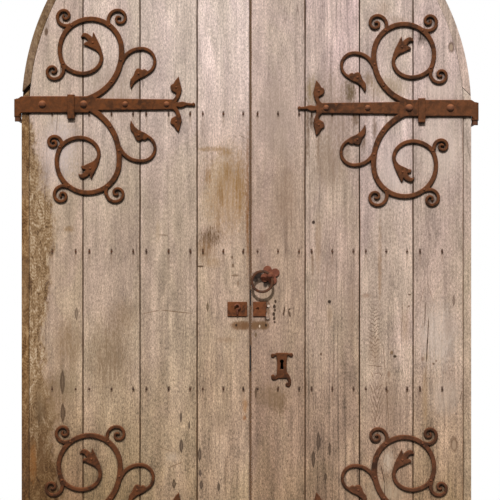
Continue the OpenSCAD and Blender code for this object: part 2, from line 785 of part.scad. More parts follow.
function bezier(p, t) = pow(1 - t, 3) * p[0] + 3 * pow(1 - t, 2) * t * p[1]
    + 3 * (1 - t) * t * t * p[2] + pow(t, 3) * p[3];
function curve(p, n) = [for (i = [0 : n]) bezier(p, i / n)];

// The plate's waisted sides are arcs
plate_half = (plate_up + plate_down) / 2;
waist_bow = (plate_w - waist_w) / 2;
waist_r = (plate_half * plate_half + waist_bow * waist_bow) / (2 * waist_bow);
function waist_point(y, way) = let (d = y - (plate_up - plate_down) / 2)
    [way * (waist_w / 2 + waist_r - sqrt(waist_r * waist_r - d * d)), y];

module keyhole_plate() {
    color(rust) slab(-plate_t, 0) translate([key_x, key_z]) difference() {
        union() {
            polygon(concat(
                [for (i = [0 : 12]) waist_point(mix(-plate_down, plate_up, i / 12), 1)],
                [for (i = [12 : -1 : 0]) waist_point(mix(-plate_down, plate_up, i / 12), -1)]));
            for (p = arm_shares) stroke(p * corner_l, corner_w, corner_w);
            for (p = leg_shares) stroke(curve(p * corner_l, 10), 2 * corner_w, corner_w);
            for (p = bead_shares) translate(p * corner_l) circle(bead_r);
        }
        keyhole_shape(0);
    }
}

module left_hasp_plate() {
    color(rust) slab(-hasp_t, 0) translate([left_hasp_x, hasp_z])
        square([left_hasp_w, hasp_h], center = true);
}

// A bent staple broken off short: a hooked top, a stem, and a foot let into the plate
module hasp_staple() {
    color(iron) translate([left_hasp_x, front_y - hasp_t - staple_h, hasp_z]) {
        translate([0, 0, staple_r]) rotate([90, 0, 0]) rotate([0, 0, -80]) rotate_extrude(angle = 250)
            translate([staple_r, 0]) circle(d = staple_d);
        rotate([180, 0, 0]) cylinder(d = staple_d, h = staple_l);
        sphere(d = staple_d);
        translate([0, 0, -staple_l]) {
            sphere(d = staple_d);
            rotate([-90, 0, 0]) cylinder(d = staple_d, h = staple_h);
        }
    }
}

// The broken right edge of the plate, as shares of its half width and half height
broken_edge_shares = [
    [0.86, -1], [0.78, -0.62], [0.96, -0.3], [0.88, 0.1], [1, 0.42], [0.8, 0.7], [0.92, 1]
];
peg_share = [-0.6, 0.1];
screw_shares = [[1.02, 0.62], [0.9, -1.02]];
peg_lean = 35;

module right_hasp_plate() {
    half = [right_hasp_w / 2, hasp_h / 2];
    edge = [for (p = broken_edge_shares) [p[0] * half[0], p[1] * half[1]]];
    color(rust) union() {
        slab(-hasp_t, 0) translate([right_hasp_x, hasp_z])
            polygon(concat([[-half[0], half[1]], [-half[0], -half[1]]], edge));
        translate([right_hasp_x, front_y - hasp_t / 2, hasp_z])
            translate([peg_share[0] * half[0], 0, peg_share[1] * half[1]])
            rotate([90 - peg_lean, 0, 0]) rotate([0, peg_lean, 0]) cylinder(d = peg_d, h = peg_l);
    }
}

module hasp_screws() {
    half = [right_hasp_w / 2, hasp_h / 2];
    color(old_steel) for (p = screw_shares)
        standing_out(right_hasp_x + p[0] * half[0] + screw_d / 2, hasp_z + p[1] * half[1] - screw_d / 2, 0)
            cylinder(d = screw_d, h = screw_h);
}

lock_x = meeting_edge(RIGHT) + lock_edge;
keep_x = meeting_edge(LEFT) - lock_edge - keep_l;
bar_y = board_t + bar_back;
bar_z = key_z + bar_rise;
keep_h = bar_h + 2 * (keep_room + keep_wall);
keep_t = bar_back + bar_t + keep_room + keep_wall;

// The bolt's own block, grown all round, at its height and depth
module bolt_block(x, length, grow) {
    translate([x, front_y + bar_y - grow, bar_z - bar_h / 2 - grow])
        cube([length, bar_t + 2 * grow, bar_h + 2 * grow]);
}

module lock_case() {
    h = lock_down + lock_up;
    color(iron) difference() {
        translate([lock_x, front_y + board_t, key_z - lock_down]) cube([lock_l, lock_t, h]);
        for (room = [
            [lock_wall, guide_in],
            [guide_in + lock_wall, lock_l - lock_wall]])
            translate([lock_x + room[0], front_y + board_t - cut, key_z - lock_down + lock_wall])
                cube([room[1] - room[0], lock_t - lock_wall + cut, h - 2 * lock_wall]);
        bolt_block(lock_x - cut, guide_in + 2 * lock_wall + cut, bar_clear);
    }
}

module lock_bolt() {
    color(old_steel) bolt_block(lock_x + bar_clear, bar_l, 0);
}

module lock_keep() {
    color(iron) difference() {
        translate([keep_x, front_y + board_t, bar_z - keep_h / 2]) cube([keep_l, keep_t, keep_h]);
        bolt_block(keep_x + keep_wall, keep_l, keep_room);
    }
}

board(LEFT, 0);  // left_board_1
board(LEFT, 1);  // left_board_2
board(LEFT, 2);  // left_board_3
board(LEFT, 3);  // left_board_4
board(RIGHT, 0);  // right_board_1
board(RIGHT, 1);  // right_board_2
board(RIGHT, 2);  // right_board_3
board(RIGHT, 3);  // right_board_4
edge_strip(LEFT);  // left_edge_strip
arch_strip(LEFT);  // left_arch_strip
edge_strip(RIGHT);  // right_edge_strip
arch_strip(RIGHT);  // right_arch_strip
ledge(LEFT, 0);  // left_ledge_1
ledge(LEFT, 1);  // left_ledge_2
ledge(LEFT, 2);  // left_ledge_3
ledge(LEFT, 3);  // left_ledge_4
ledge(LEFT, 4);  // left_ledge_5
ledge(RIGHT, 0);  // right_ledge_1
ledge(RIGHT, 1);  // right_ledge_2
ledge(RIGHT, 2);  // right_ledge_3
ledge(RIGHT, 3);  // right_ledge_4
ledge(RIGHT, 4);  // right_ledge_5
nails(LEFT);  // left_nails
nails(RIGHT);  // right_nails
hinge(LEFT, true);  // upper_left_hinge
hinge(RIGHT, true);  // upper_right_hinge
hinge(LEFT, false);  // lower_left_hinge
hinge(RIGHT, false);  // lower_right_hinge
collar(LEFT, true);  // upper_left_collar
collar(RIGHT, true);  // upper_right_collar
collar(LEFT, false);  // lower_left_collar
collar(RIGHT, false);  // lower_right_collar
bolts(LEFT, true);  // upper_left_bolts
bolts(RIGHT, true);  // upper_right_bolts
bolts(LEFT, false);  // lower_left_bolts
bolts(RIGHT, false);  // lower_right_bolts
rivets(LEFT, true);  // upper_left_rivets
rivets(RIGHT, true);  // upper_right_rivets
rivets(LEFT, false);  // lower_left_rivets
rivets(RIGHT, false);  // lower_right_rivets
pintle(LEFT, true);  // upper_left_pintle
pintle(RIGHT, true);  // upper_right_pintle
pintle(LEFT, false);  // lower_left_pintle
pintle(RIGHT, false);  // lower_right_pintle
ring_rosette();
ring_boss();
ring_rove();
pull_ring();
keyhole_plate();
left_hasp_plate();
hasp_staple();
right_hasp_plate();
hasp_screws();
lock_case();
lock_bolt();
lock_keep();
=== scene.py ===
import bpy
import bmesh
import math
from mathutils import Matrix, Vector


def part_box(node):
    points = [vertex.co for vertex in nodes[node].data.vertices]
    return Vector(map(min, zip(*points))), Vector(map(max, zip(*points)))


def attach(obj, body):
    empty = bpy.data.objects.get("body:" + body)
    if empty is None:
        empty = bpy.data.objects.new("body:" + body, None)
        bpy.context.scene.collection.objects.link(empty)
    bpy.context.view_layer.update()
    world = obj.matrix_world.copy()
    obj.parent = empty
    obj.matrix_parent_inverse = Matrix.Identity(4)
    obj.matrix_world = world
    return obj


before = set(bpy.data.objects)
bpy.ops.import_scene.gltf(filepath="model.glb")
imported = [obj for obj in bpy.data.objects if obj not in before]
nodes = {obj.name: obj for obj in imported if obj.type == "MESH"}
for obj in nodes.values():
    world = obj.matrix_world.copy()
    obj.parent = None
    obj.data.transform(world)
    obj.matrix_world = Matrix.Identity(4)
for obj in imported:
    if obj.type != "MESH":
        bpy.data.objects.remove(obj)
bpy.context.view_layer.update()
print("frame loaded:", len(nodes), "pieces of the door")

# the photograph's scale: metres to a pixel, the pixels of x = 0 and z = 0, and y on the face of the boards
photo = {"perPixel": 0.0033, "middle": 246.4, "foot": 650.0, "face": -0.0235}


def fromPhoto(px, py):  # a point on the face of the boards
    return ((px - photo["middle"]) * photo["perPixel"], photo["face"], (photo["foot"] - py) * photo["perPixel"])


def markSize(wide, tall, deep):  # half sizes of a mark, the first two in pixels
    return (wide * photo["perPixel"], deep, tall * photo["perPixel"])


def paint(red, green, blue):  # screen colour, 0 to 255, to the shader's linear one
    def linear(c):
        c /= 255.0
        return c / 12.92 if c <= 0.04045 else ((c + 0.055) / 1.055) ** 2.4
    return (linear(red), linear(green), linear(blue), 1.0)


# small helpers to lay out shader nodes

def feed(tree, value, socket):
    if isinstance(value, bpy.types.NodeSocket):
        tree.links.new(value, socket)
    elif value is not None:
        socket.default_value = value


def feedAll(tree, values, sockets):
    for name, value in values.items():
        feed(tree, value, sockets[name])


def addNode(tree, kind, inputs=None, **settings):
    node = tree.nodes.new(kind)
    for name, value in settings.items():
        setattr(node, name, value)
    feedAll(tree, inputs or {}, node.inputs)
    return node


def calc(tree, operation, a, b=None, c=None, clamp=False):
    node = addNode(tree, "ShaderNodeMath", operation=operation, use_clamp=clamp)
    for socket, value in zip(node.inputs, (a, b, c)):
        feed(tree, value, socket)
    return node.outputs[0]


def times(tree, a, b):
    return calc(tree, "MULTIPLY", a, b)


def addTimes(tree, a, b, c):  # a times b, and c added
    return calc(tree, "MULTIPLY_ADD", a, b, c)


def minus(tree, a, b=0.5):  # noises lie round one half
    return calc(tree, "SUBTRACT", a, b)


def apart(tree, a, b=0.5):
    return calc(tree, "ABSOLUTE", minus(tree, a, b))


def vectorCalc(tree, operation, a, b=None, scale=None):
    node = addNode(tree, "ShaderNodeVectorMath", operation=operation)
    feed(tree, a, node.inputs[0])
    feed(tree, b, node.inputs[1])
    if scale is not None:  # only that operation has the socket
        feed(tree, scale, node.inputs["Scale"])
    return node.outputs["Value"] if operation in ("LENGTH", "DOT_PRODUCT") else node.outputs[0]


def split(tree, vector):  # a vector's X, Y and Z
    return addNode(tree, "ShaderNodeSeparateXYZ", {0: vector}).outputs


def ease(tree, value, low, high, toLow=0.0, toHigh=1.0):  # a soft step from low to high
    node = addNode(tree, "ShaderNodeMapRange", interpolation_type="SMOOTHSTEP")
    for socket, v in zip(node.inputs, (value, low, high, toLow, toHigh)):
        feed(tree, v, socket)
    return node.outputs[0]


def fade(tree, value, low, high):  # a soft step down, from one to nothing
    return ease(tree, value, low, high, 1.0, 0.0)


def mixColour(tree, factor, a, b, blend="MIX"):
    node = addNode(tree, "ShaderNodeMix", data_type="RGBA", blend_type=blend, clamp_factor=True)
    feed(tree, factor, node.inputs[0])
    feed(tree, a, node.inputs[6])
    feed(tree, b, node.inputs[7])
    return node.outputs[2]


def tintBy(tree, colour, tint):
    return mixColour(tree, 1.0, colour, tint, "MULTIPLY")


def shade(tree, colour, tone):  # a colour made lighter or darker by a number
    grey = addNode(tree, "ShaderNodeCombineColor", {"Red": tone, "Green": tone, "Blue": tone})
    return tintBy(tree, colour, grey.outputs[0])


def ramp(tree, value, stops):
    node = addNode(tree, "ShaderNodeValToRGB")
    feed(tree, value, node.inputs[0])
    elements = node.color_ramp.elements
    while len(elements) < len(stops):
        elements.new(0.5)
    for element, (place, colour) in zip(elements, stops):
        element.position = place
        element.color = colour
    return node.outputs[0]


def noise(tree, vector, across, along, detail=2.0, roughness=0.5, distortion=0.0):
    node = addNode(tree, "ShaderNodeTexNoise", {
        "Vector": vectorCalc(tree, "MULTIPLY", vector, (across, across, along)), "Scale": 1.0, "Detail": detail,
        "Roughness": roughness, "Distortion": distortion})
    return node.outputs["Fac"]


def allNoises(tree, vector, sizes):
    return {name: noise(tree, vector, *size) for name, size in sizes.items()}


def swing(tree, value, amount):  # a noise turned into a number round one
    return addTimes(tree, value, amount, 1.0 - amount / 2)


def newGroup(name, inputs, outputs):  # sockets by label and kind
    tree = bpy.data.node_groups.new(name, "ShaderNodeTree")
    for way, sockets in (("INPUT", inputs), ("OUTPUT", outputs)):
        for label, kind in sockets.items():
            tree.interface.new_socket(label, in_out=way, socket_type="NodeSocket" + kind)
    return tree, tree.nodes.new("NodeGroupInput").outputs, tree.nodes.new("NodeGroupOutput").inputs


def placeGroup(tree, group, inputs):
    node = tree.nodes.new("ShaderNodeGroup")
    node.node_tree = group
    feedAll(tree, inputs, node.inputs)
    return node.outputs


def newMaterial(name, colour):
    material = bpy.data.materials.new(name)
    material.use_nodes = True
    material.diffuse_color = colour
    tree = material.node_tree
    tree.nodes.clear()
    shader = tree.nodes.new("ShaderNodeBsdfPrincipled")
    out = tree.nodes.new("ShaderNodeOutputMaterial")
    tree.links.new(shader.outputs[0], out.inputs[0])
    place = tree.nodes.new("ShaderNodeTexCoord").outputs["Object"]
    return material, tree, shader, place


def bump(tree, shader, height, strength, distance, normal=None):
    node = addNode(tree, "ShaderNodeBump", {
        "Strength": strength, "Distance": distance, "Height": height, "Normal": normal})
    tree.links.new(node.outputs[0], shader.inputs["Normal"])


# grain of old oak that runs upwards; each noise: across, along, detail, roughness, distortion
oakNoises = {
    "fleck": (300, 105, 2, 0.6), "fine": (720, 330, 2, 0.6), "mottle": (30, 9, 3, 0.6, 0.5),
    "lines": (130, 3.2, 3, 0.6, 0.3), "streak": (14, 1.2, 4, 0.6, 0.4), "hue": (7, 2.6, 4, 0.6, 0.6),
    "rings": (6.5, 0.42, 1, 0.35), "checks": (50, 1.3, 1.5, 0.4, 0.2), "where": (13, 1.7, 1),
    "specks": (330, 170, 2, 0.5)}
# how the noises become flecks, year rings, checks and specks, and how far each stands out
oakFigure = {
    "fleckShare": 0.6, "ringCount": 22.0, "ringWidth": (0.0, 0.2), "ringBreaks": (0.35, 0.62, 1.0, 0.25),
    "checkWidth": (0.003, 0.011), "checkPlaces": (0.55, 0.66), "specks": (0.62, 0.7), "speckPlaces": (0.46, 0.58),
    "fleckHeight": 0.6, "lineHeight": 0.7, "checkDepth": 0.6}


def makeOakGrain():
    labels = ("Fleck", "Mottle", "Lines", "Streak", "Rings", "Hue", "Checks", "Specks", "Height")
    tree, start, end = newGroup(
        "oakGrain", dict.fromkeys(("Vector", "Shift"), "Vector"), dict.fromkeys(labels, "Float"))
    seen = allNoises(tree, vectorCalc(tree, "ADD", start["Vector"], start["Shift"]), oakNoises)
    fine = times(tree, seen["fine"], 1.0 - oakFigure["fleckShare"])
    fleck = addTimes(tree, seen["fleck"], oakFigure["fleckShare"], fine)
    year = calc(tree, "FRACT", times(tree, seen["rings"], oakFigure["ringCount"]))
    rings = times(tree, fade(tree, apart(tree, year), *oakFigure["ringWidth"]),
                  ease(tree, seen["lines"], *oakFigure["ringBreaks"]))
    checks = times(tree, fade(tree, apart(tree, seen["checks"]), *oakFigure["checkWidth"]),
                   ease(tree, seen["where"], *oakFigure["checkPlaces"]))
    specks = times(tree, ease(tree, seen["specks"], *oakFigure["specks"]),
                   ease(tree, seen["mottle"], *oakFigure["speckPlaces"]))
    height = times(tree, seen["lines"], oakFigure["lineHeight"])
    height = addTimes(tree, fleck, oakFigure["fleckHeight"], height)
    height = minus(tree, height, times(tree, checks, oakFigure["checkDepth"]))
    feedAll(tree, {"Fleck": fleck, "Mottle": seen["mottle"], "Lines": seen["lines"], "Streak": seen["streak"],
                   "Rings": rings, "Hue": seen["hue"], "Checks": checks, "Specks": specks, "Height": height}, end)
    return tree


# an oval mark on the face of the wood: Rough frays it, Inner is where it starts to fade, Lens points its ends;
# Rim is the same mark with a paler heart
spotShape = {"end": 1.15, "heart": (0.1, 0.6, 0.7, 1.0)}


def makeSpot():
    tree, start, end = newGroup("spot", {
        "Vector": "Vector", "Rough": "Float", "Centre": "Vector", "Size": "Vector", "Inner": "Float", "Lens": "Float"},
        {"Mask": "Float", "Rim": "Float"})
    off = vectorCalc(tree, "SUBTRACT", start["Vector"], start["Centre"])
    off = vectorCalc(tree, "DIVIDE", off, start["Size"])
    oval = vectorCalc(tree, "LENGTH", off)
    axis = split(tree, off)
    lens = addTimes(tree, axis["Z"], axis["Z"], calc(tree, "ABSOLUTE", axis["X"]))
    lens = calc(tree, "ADD", lens, calc(tree, "ABSOLUTE", axis["Y"]))
    far = addTimes(tree, minus(tree, lens, oval), start["Lens"], oval)
    far = calc(tree, "ADD", far, start["Rough"])
    mask = fade(tree, far, start["Inner"], spotShape["end"])
    feedAll(tree, {"Mask": mask, "Rim": times(tree, mask, ease(tree, far, *spotShape["heart"]))}, end)
    return tree


# a thin crack from one point to another, tapering at both ends
crackShape = {"wander": 0.0016, "taper": (0.0, 0.16, 0.35, 1.0), "core": 0.4}


def makeCrack():
    tree, start, end = newGroup("crack", {
        "Vector": "Vector", "Rough": "Float", "From": "Vector", "To": "Vector", "Width": "Float"}, {"Mask": "Float"})
    way = vectorCalc(tree, "SUBTRACT", start["To"], start["From"])
    off = vectorCalc(tree, "SUBTRACT", start["Vector"], start["From"])
    along = calc(tree, "DIVIDE", vectorCalc(tree, "DOT_PRODUCT", off, way),
                 vectorCalc(tree, "DOT_PRODUCT", way, way), clamp=True)
    nearest = vectorCalc(tree, "SCALE", way, scale=along)
    far = vectorCalc(tree, "LENGTH", vectorCalc(tree, "SUBTRACT", off, nearest))
    far = addTimes(tree, start["Rough"], crackShape["wander"], far)
    body = times(tree, minus(tree, 1.0, along), along)
    width = times(tree, start["Width"], ease(tree, body, *crackShape["taper"]))
    feed(tree, fade(tree, far, times(tree, width, crackShape["core"]), width), end["Mask"])
    return tree


# dark iron stain at three nails in a row, repeated from ledge to ledge: a short dash and a faint run below it
nailMark = {
    "across": (0.11, 0.5, 0.88), "firstRow": 0.407, "pitch": 0.454, "fray": 0.006, "shown": (0.34, 0.52, 0.25, 1.0),
    "noises": {"rough": (240, 90), "uneven": (9, 6, 1)},
    "Run": {"wide": (0.001, 0.006), "tall": (0.0, 0.07), "tone": paint(120, 94, 72), "strength": 0.4},
    "Dash": {"wide": (0.0016, 0.0046), "tall": (0.006, 0.0125), "tone": paint(62, 42, 28), "strength": 0.9}}


def nearestLine(tree, x, lines):  # how far x is from the nearest of a few upright lines
    near = apart(tree, x, lines[0])
    for line in lines[1:]:
        near = calc(tree, "MINIMUM", near, apart(tree, x, line))
    return near


def makeNailStain():
    tree, start, end = newGroup("nailStain", {
        "Vector": "Vector", "First": "Float", "Second": "Float", "Third": "Float", "Row": "Float", "Pitch": "Float"},
        {"Dash": "Float", "Run": "Float"})
    axis = split(tree, start["Vector"])
    seen = allNoises(tree, start["Vector"], nailMark["noises"])
    near = nearestLine(tree, axis["X"], [start["First"], start["Second"], start["Third"]])
    near = addTimes(tree, minus(tree, seen["rough"]), nailMark["fray"], near)
    below = calc(tree, "FLOORED_MODULO", minus(tree, start["Row"], axis["Z"]), start["Pitch"])
    rowApart = calc(tree, "MINIMUM", below, minus(tree, start["Pitch"], below))
    uneven = ease(tree, seen["uneven"], *nailMark["shown"])
    for label, away in (("Dash", rowApart), ("Run", below)):
        mark = times(tree, fade(tree, near, *nailMark[label]["wide"]), fade(tree, away, *nailMark[label]["tall"]))
        feed(tree, times(tree, mark, uneven), end[label])
    return tree


# rotten outer wood of the left edge: rippled, dark and pale patches, and where it ends on the first board
decay = {
    "tones": [(0.31, paint(84, 58, 34)), (0.42, paint(124, 95, 63)), (0.54, paint(156, 127, 94)),
              (0.68, paint(198, 175, 148))],
    "noises": {"broad": (24, 12), "fine": (150, 70, 3, 0.6), "patch": (60, 20, 4, 0.66, 1.2),
               "fleck": (300, 150, 3, 0.6), "bend": (34, 9, 2, 0.5, 0.8)},
    "outer": -0.7345, "reach": 0.146, "top": 2.0, "rim": (-0.02, 0.012), "fray": 0.06, "strength": 0.95,
    "ripple": 0.012, "bend": 0.09, "rippleTone": 0.045, "fleckTone": 0.5,
    "damp": (0.38, 0.3, 0.2, 1.0), "dampHeight": (0.55, 0.95),
    "edge": [(0.24, 0.9), (0.33, 0.76), (0.38, 0.76), (0.42, 0.68), (0.45, 0.5), (0.545, 0.5), (0.61, 0.64),
             (0.644, 0.62), (0.668, 0.74), (0.693, 0.74), (0.734, 0.66), (0.759, 0.5), (0.81, 0.34), (0.86, 0.26),
             (0.9, 0.0)]}
plain = (1.0, 1.0, 1.0, 1.0)  # a tint that changes nothing


def makeDecay():
    tree, start, end = newGroup("decay", {"Vector": "Vector"}, {"Mask": "Float", "Color": "Color"})
    axis = split(tree, start["Vector"])
    seen = allNoises(tree, start["Vector"], decay["noises"])
    edge = ramp(tree, calc(tree, "DIVIDE", axis["Z"], decay["top"]), [
        (place, (v, v, v, 1.0)) for place, v in decay["edge"]])
    past = minus(tree, axis["X"], addTimes(tree, edge, decay["reach"], decay["outer"]))
    for name in ("broad", "fine"):
        past = addTimes(tree, minus(tree, seen[name]), decay["fray"], past)
    bend = addTimes(tree, seen["bend"], decay["bend"], axis["Z"])
    wave = calc(tree, "SINE", times(tree, bend, 2.0 * math.pi / decay["ripple"]))
    tone = addTimes(tree, minus(tree, seen["fleck"]), decay["fleckTone"], seen["patch"])
    tone = addTimes(tree, wave, decay["rippleTone"], tone)
    damp = mixColour(tree, fade(tree, axis["Z"], *decay["dampHeight"]), plain, decay["damp"])
    feed(tree, fade(tree, past, *decay["rim"]), end["Mask"])
    feed(tree, tintBy(tree, ramp(tree, tone, decay["tones"]), damp), end["Color"])
    return tree


oakGrain = makeOakGrain()
spot = makeSpot()
crack = makeCrack()
nailStain = makeNailStain()
rottenEdge = makeDecay()

# colours of the wood from the foot to the crown, as shares of the height, and what its grain does to them
oakTones = {
    "heights": [(0.0, paint(122, 97, 72)), (0.22, paint(142, 117, 92)), (0.337, paint(160, 136, 114)),
                (0.417, paint(171, 149, 129)), (0.57, paint(180, 158, 141)), (0.65, paint(183, 162, 147)),
                (0.75, paint(196, 177, 165)), (0.9, paint(203, 184, 174)), (1.0, paint(203, 184, 174))],
    "top": 2.4, "streakLift": 0.16, "foot": (0.52, 0.95), "head": (1.55, 2.05), "contrast": (0.52, 1.55, 1.45, 1.0),
    "swings": {"Fleck": 2.7, "Mottle": 1.0, "Lines": 1.6, "Streak": 0.7}, "darkest": 0.12,
    "hue": (0.36, 0.64), "pink": (1.025, 0.985, 1.0, 1.0), "olive": (0.99, 0.98, 0.93, 1.0),
    "checks": paint(70, 48, 32), "checkStrength": 0.4, "speckLess": 0.75,
    "roughness": (0.3, 0.7, 0.92, 0.76), "shine": 0.2, "relief": 0.0018}


def oakBase(tree, place, shift, facts):
    grain = placeGroup(tree, oakGrain, {"Vector": place, "Shift": shift})
    axis = split(tree, place)
    level = calc(tree, "DIVIDE", axis["Z"], oakTones["top"])
    level = addTimes(tree, minus(tree, grain["Streak"]), oakTones["streakLift"], level)
    low = fade(tree, axis["Z"], *oakTones["foot"])
    tint = mixColour(tree, low, facts["middle"] + (1.0,), facts["foot"] + (1.0,))
    tint = mixColour(tree, ease(tree, axis["Z"], *oakTones["head"]), tint, facts["head"] + (1.0,))
    colour = tintBy(tree, ramp(tree, level, oakTones["heights"]), tint)
    hue = ease(tree, grain["Hue"], *oakTones["hue"])
    colour = tintBy(tree, colour, mixColour(tree, hue, oakTones["pink"], oakTones["olive"]))
    tone = addTimes(tree, grain["Rings"], -facts["rings"], 1.0)
    for label, amount in oakTones["swings"].items():
        amount *= facts["lines"] if label == "Lines" else 1.0
        tone = times(tree, tone, swing(tree, grain[label], amount))
    harder = ease(tree, axis["Z"], *oakTones["contrast"])
    tone = addTimes(tree, minus(tree, tone, 1.0), harder, 1.0)
    colour = shade(tree, colour, calc(tree, "MAXIMUM", tone, oakTones["darkest"]))
    specks = times(tree, grain["Specks"], minus(tree, harder, oakTones["speckLess"]))
    colour = mixColour(tree, specks, colour, oakTones["checks"])
    colour = mixColour(tree, times(tree, grain["Checks"], oakTones["checkStrength"]), colour, oakTones["checks"])
    return grain, axis, colour


def finishOak(tree, shader, grain, colour, relief):
    feed(tree, colour, shader.inputs["Base Color"])
    feed(tree, ease(tree, grain["Fleck"], *oakTones["roughness"]), shader.inputs["Roughness"])
    shader.inputs["Specular IOR Level"].default_value = oakTones["shine"]
    bump(tree, shader, grain["Height"], relief, oakTones["relief"])


